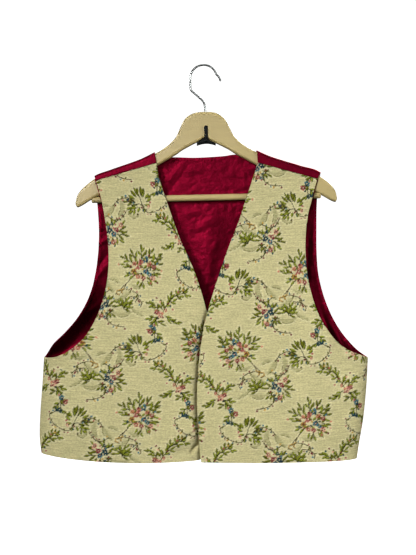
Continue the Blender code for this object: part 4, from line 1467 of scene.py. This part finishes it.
# %% Upright of the fitting
CLIP_X = 1.9
CLIP_TOP = -102.5
CLIP_FOOT = -131.0
CLIP_HALF_WIDTH = 3.0
CLIP_FRONT = -WOOD_THICKNESS / 2 - 2.0
CLIP_THICK = 1.7
CLIP_CORNER = 0.9
CLIP_TIP_CLOSES = 0.97
CLIP_TOP_ROWS = 9
CLIP_LOWER_ROWS = 12

round_top = CLIP_TOP - CLIP_HALF_WIDTH * (1.0 - np.cos(np.linspace(0.0, pi / 2, CLIP_TOP_ROWS)))
straight = np.linspace(CLIP_TOP - CLIP_HALF_WIDTH, CLIP_FOOT, CLIP_LOWER_ROWS)[1:]
heights = np.concatenate([round_top, straight])
half_wide = CLIP_HALF_WIDTH - CLIP_TIP_CLOSES * tip_inset(CLIP_TOP - heights, CLIP_HALF_WIDTH)
half_deep = np.full(len(heights), CLIP_THICK / 2)
section = rounded_sections(half_wide, half_deep, CLIP_CORNER * np.minimum(half_wide, half_deep))
points = np.stack(
    [
        CLIP_X + section[..., 0],
        CLIP_FRONT + CLIP_THICK / 2 + section[..., 1],
        np.broadcast_to(heights[:, None], section.shape[:2]),
    ],
    axis=2,
)
hanger_piece("clip_upright", points, loft_faces(*points.shape[:2]), black, "hanger_clip")

# %% Foot of the fitting
FOOT_HALF_WIDTH = 16.2
FOOT_COLUMNS = 41
FOOT_TOP = -131.9
FOOT_PEAK = 9.0
FOOT_BOTTOM = -136.2
FOOT_ARCH = 3.4
FOOT_UNDER_WOOD = 0.4
FOOT_LEAST = 0.8
FOOT_ROUND = 1.6
FOOT_CORNER = 0.7

share = np.linspace(-1.0, 1.0, FOOT_COLUMNS)
places = CLIP_X + FOOT_HALF_WIDTH * share
under_wood = np.interp(np.abs(places), arm_line[:, 0], arm_line[:, 2]) - FOOT_UNDER_WOOD
tops = np.minimum(under_wood, FOOT_TOP + FOOT_PEAK * (1.0 - np.abs(share)))
lows = FOOT_BOTTOM + FOOT_ARCH * (1.0 - share**2)
half_high = np.maximum((tops - lows) / 2, FOOT_LEAST)
half_thick = np.full(len(share), (WOOD_THICKNESS + CLIP_THICK) / 2)
section = rounded_sections(half_thick, half_high, FOOT_CORNER * np.minimum(half_high, FOOT_ROUND))
points = np.stack(
    [
        np.broadcast_to(places[:, None], section.shape[:2]),
        section[..., 0] - CLIP_THICK / 2,
        section[..., 1] + ((tops + lows) / 2)[:, None],
    ],
    axis=2,
)
hanger_piece("clip_foot", points, loft_faces(*points.shape[:2]), black, "hanger_clip")

# %% [markdown]
# ### Wire hook
# A chrome wire comes out of the hump, bends to the left and back over, and ends in a short straight
# tip. Its middle line is a curve for the shank, an arc for the crown and a curve for the tip. The
# line was measured as the hook hangs, so it is turned back to the level hanger first.

# %% Wire hook
WIRE_RADIUS = 1.8
WIRE_SIDES = 20
STEM_X = 3.2
STEM_DEPTH = 24.0
HOOK_SHANK = ((STEM_X, -79.0), (0.6, -63.0), (-9.0, -52.5), (-20.3, -42.6), (-22.4, -37.0))
CROWN_CENTRE = (0.2, -20.9)
CROWN_RADIUS = 22.7
CROWN_END = radians(17)
HOOK_TIP_BEND = (1.4, 0.6)
HOOK_TIP = (29.2, -26.5)
WIRE_TIP_CLOSES = 0.98
SHANK_STEPS = 60
CROWN_STEPS = 60
TIP_STEPS = 24

shank = smooth_rows(((STEM_X, HANGER_STATIONS[0][1] - STEM_DEPTH), *HOOK_SHANK), SHANK_STEPS)
turns = np.linspace(pi, CROWN_END, CROWN_STEPS)
crown = np.array(CROWN_CENTRE) + CROWN_RADIUS * np.stack([np.cos(turns), np.sin(turns)], 1)
tip = smooth_rows((crown[-1], (crown[-1] + HOOK_TIP) / 2 + HOOK_TIP_BEND, HOOK_TIP), TIP_STEPS)
wire = np.vstack([shank, crown, tip[1:]])
along = unit(np.gradient(wire, axis=0))
across = np.stack([-along[:, 1], along[:, 0]], axis=1)
from_tip = np.linalg.norm(wire - wire[-1], axis=1)
radius = WIRE_RADIUS - WIRE_TIP_CLOSES * tip_inset(from_tip, WIRE_RADIUS)
turn = np.arange(WIRE_SIDES) * 2.0 * pi / WIRE_SIDES
flat = wire[:, None] + across[:, None] * (radius[:, None] * np.cos(turn))[..., None]
level_x, level_z = levelled(flat[..., 0], flat[..., 1])
points = np.stack([level_x, radius[:, None] * np.sin(turn), level_z], axis=2)
hanger_piece("wire_hook", points, loft_faces(*points.shape[:2]), chrome, "hanger_hook")

# %% [markdown]
# ## Backdrop
# The picture is a cut-out on white. A plain white floor and a round wall behind it stand five metres
# away all round, so that the garment can be looked at from any side. They glow for the camera alone:
# a glowing floor would light the hollow armholes from below, and they have to stay dark.

# %% Backdrop
STAGE_RADIUS = 5000.0
STAGE_TOP = 6000.0
FLOOR_Z = -1000.0
STAGE_SIDES = 64
STAGE_GLOW = 1.1
WHITE = (1.0, 1.0, 1.0, 1.0)
PALE = (0.9, 0.9, 0.9, 1.0)


def stage_piece(name, points, faces):
    """A pale surface that glows for the camera and neither lights nor shades the garment."""
    obj = new_piece(name, points, faces)
    glow = {"Emission_Color": WHITE, "Emission_Strength": STAGE_GLOW}
    obj.data.materials.append(finish(name + " white", 0.9, Base_Color=PALE, **glow))
    obj.visible_diffuse = False
    obj.visible_glossy = False
    obj.visible_shadow = False


turn = np.arange(STAGE_SIDES) * 2.0 * pi / STAGE_SIDES
ring = np.stack([np.cos(turn), np.sin(turn), np.zeros(STAGE_SIDES)], axis=1) * STAGE_RADIUS
lower = ring + (0.0, 0.0, FLOOR_Z)
upper = ring + (0.0, 0.0, STAGE_TOP)
index = np.arange(STAGE_SIDES)
after = (index + 1) % STAGE_SIDES
wall = np.stack([after, index, index + STAGE_SIDES, after + STAGE_SIDES], axis=1)
stage_piece("floor", lower, [index.tolist()])
stage_piece("backdrop", np.vstack([lower, upper]), wall.tolist())
print("the backdrop stands", STAGE_RADIUS * MM, "m away, all round")

# %% [markdown]
# ## Light
# Most of the light is one small softbox from the upper left, which throws the soft shadow of the left
# front on to the lining. A weak one beside the camera fills its shadows, and one from the right
# brightens the right armhole. One behind and one above light the back and the shoulders, for a look
# from there. The key is small, so that the folds keep their shape, and the room is nearly dark.

# %% Light
ROOM_LIGHT = 0.05

world = bpy.data.worlds.new("studio")
bpy.context.scene.world = world
world.use_nodes = True
world.node_tree.nodes["Background"].inputs["Color"].default_value = WHITE
world.node_tree.nodes["Background"].inputs["Strength"].default_value = ROOM_LIGHT
bpy.context.scene.view_settings.view_transform = "Standard"


def softbox(name, place, aim, size, power, spread):
    """A square lamp aimed at a point. Places and size are in metres, power in watts."""
    data = bpy.data.lights.new(name, "AREA")
    data.shape = "SQUARE"
    data.size = size
    data.spread = radians(spread)
    data.energy = power
    obj = bpy.data.objects.new(name, data)
    obj.location = place
    obj.rotation_euler = (Vector(aim) - Vector(place)).to_track_quat("-Z", "Y").to_euler()
    obj.visible_camera = False
    bpy.context.collection.objects.link(obj)


softbox("key", (-1.5, -2.5, 0.8), (0.45, 0.0, -0.75), 0.4, 11.0, 60.0)
softbox("fill", (-0.4, -2.6, 0.1), (0.1, 0.0, -0.75), 0.6, 1.3, 50.0)
softbox("side", (2.6, -1.2, 0.3), (0.3, 0.0, -0.7), 0.8, 20.0, 120.0)
softbox("back", (1.3, 2.4, 1.4), (0.0, 0.0, -0.3), 1.2, 34.0, 120.0)
softbox("top", (-0.3, 0.5, 2.6), (0.0, 0.0, -0.2), 1.2, 12.0, 120.0)
print("lamps:", ", ".join(light.name for light in bpy.data.lights))
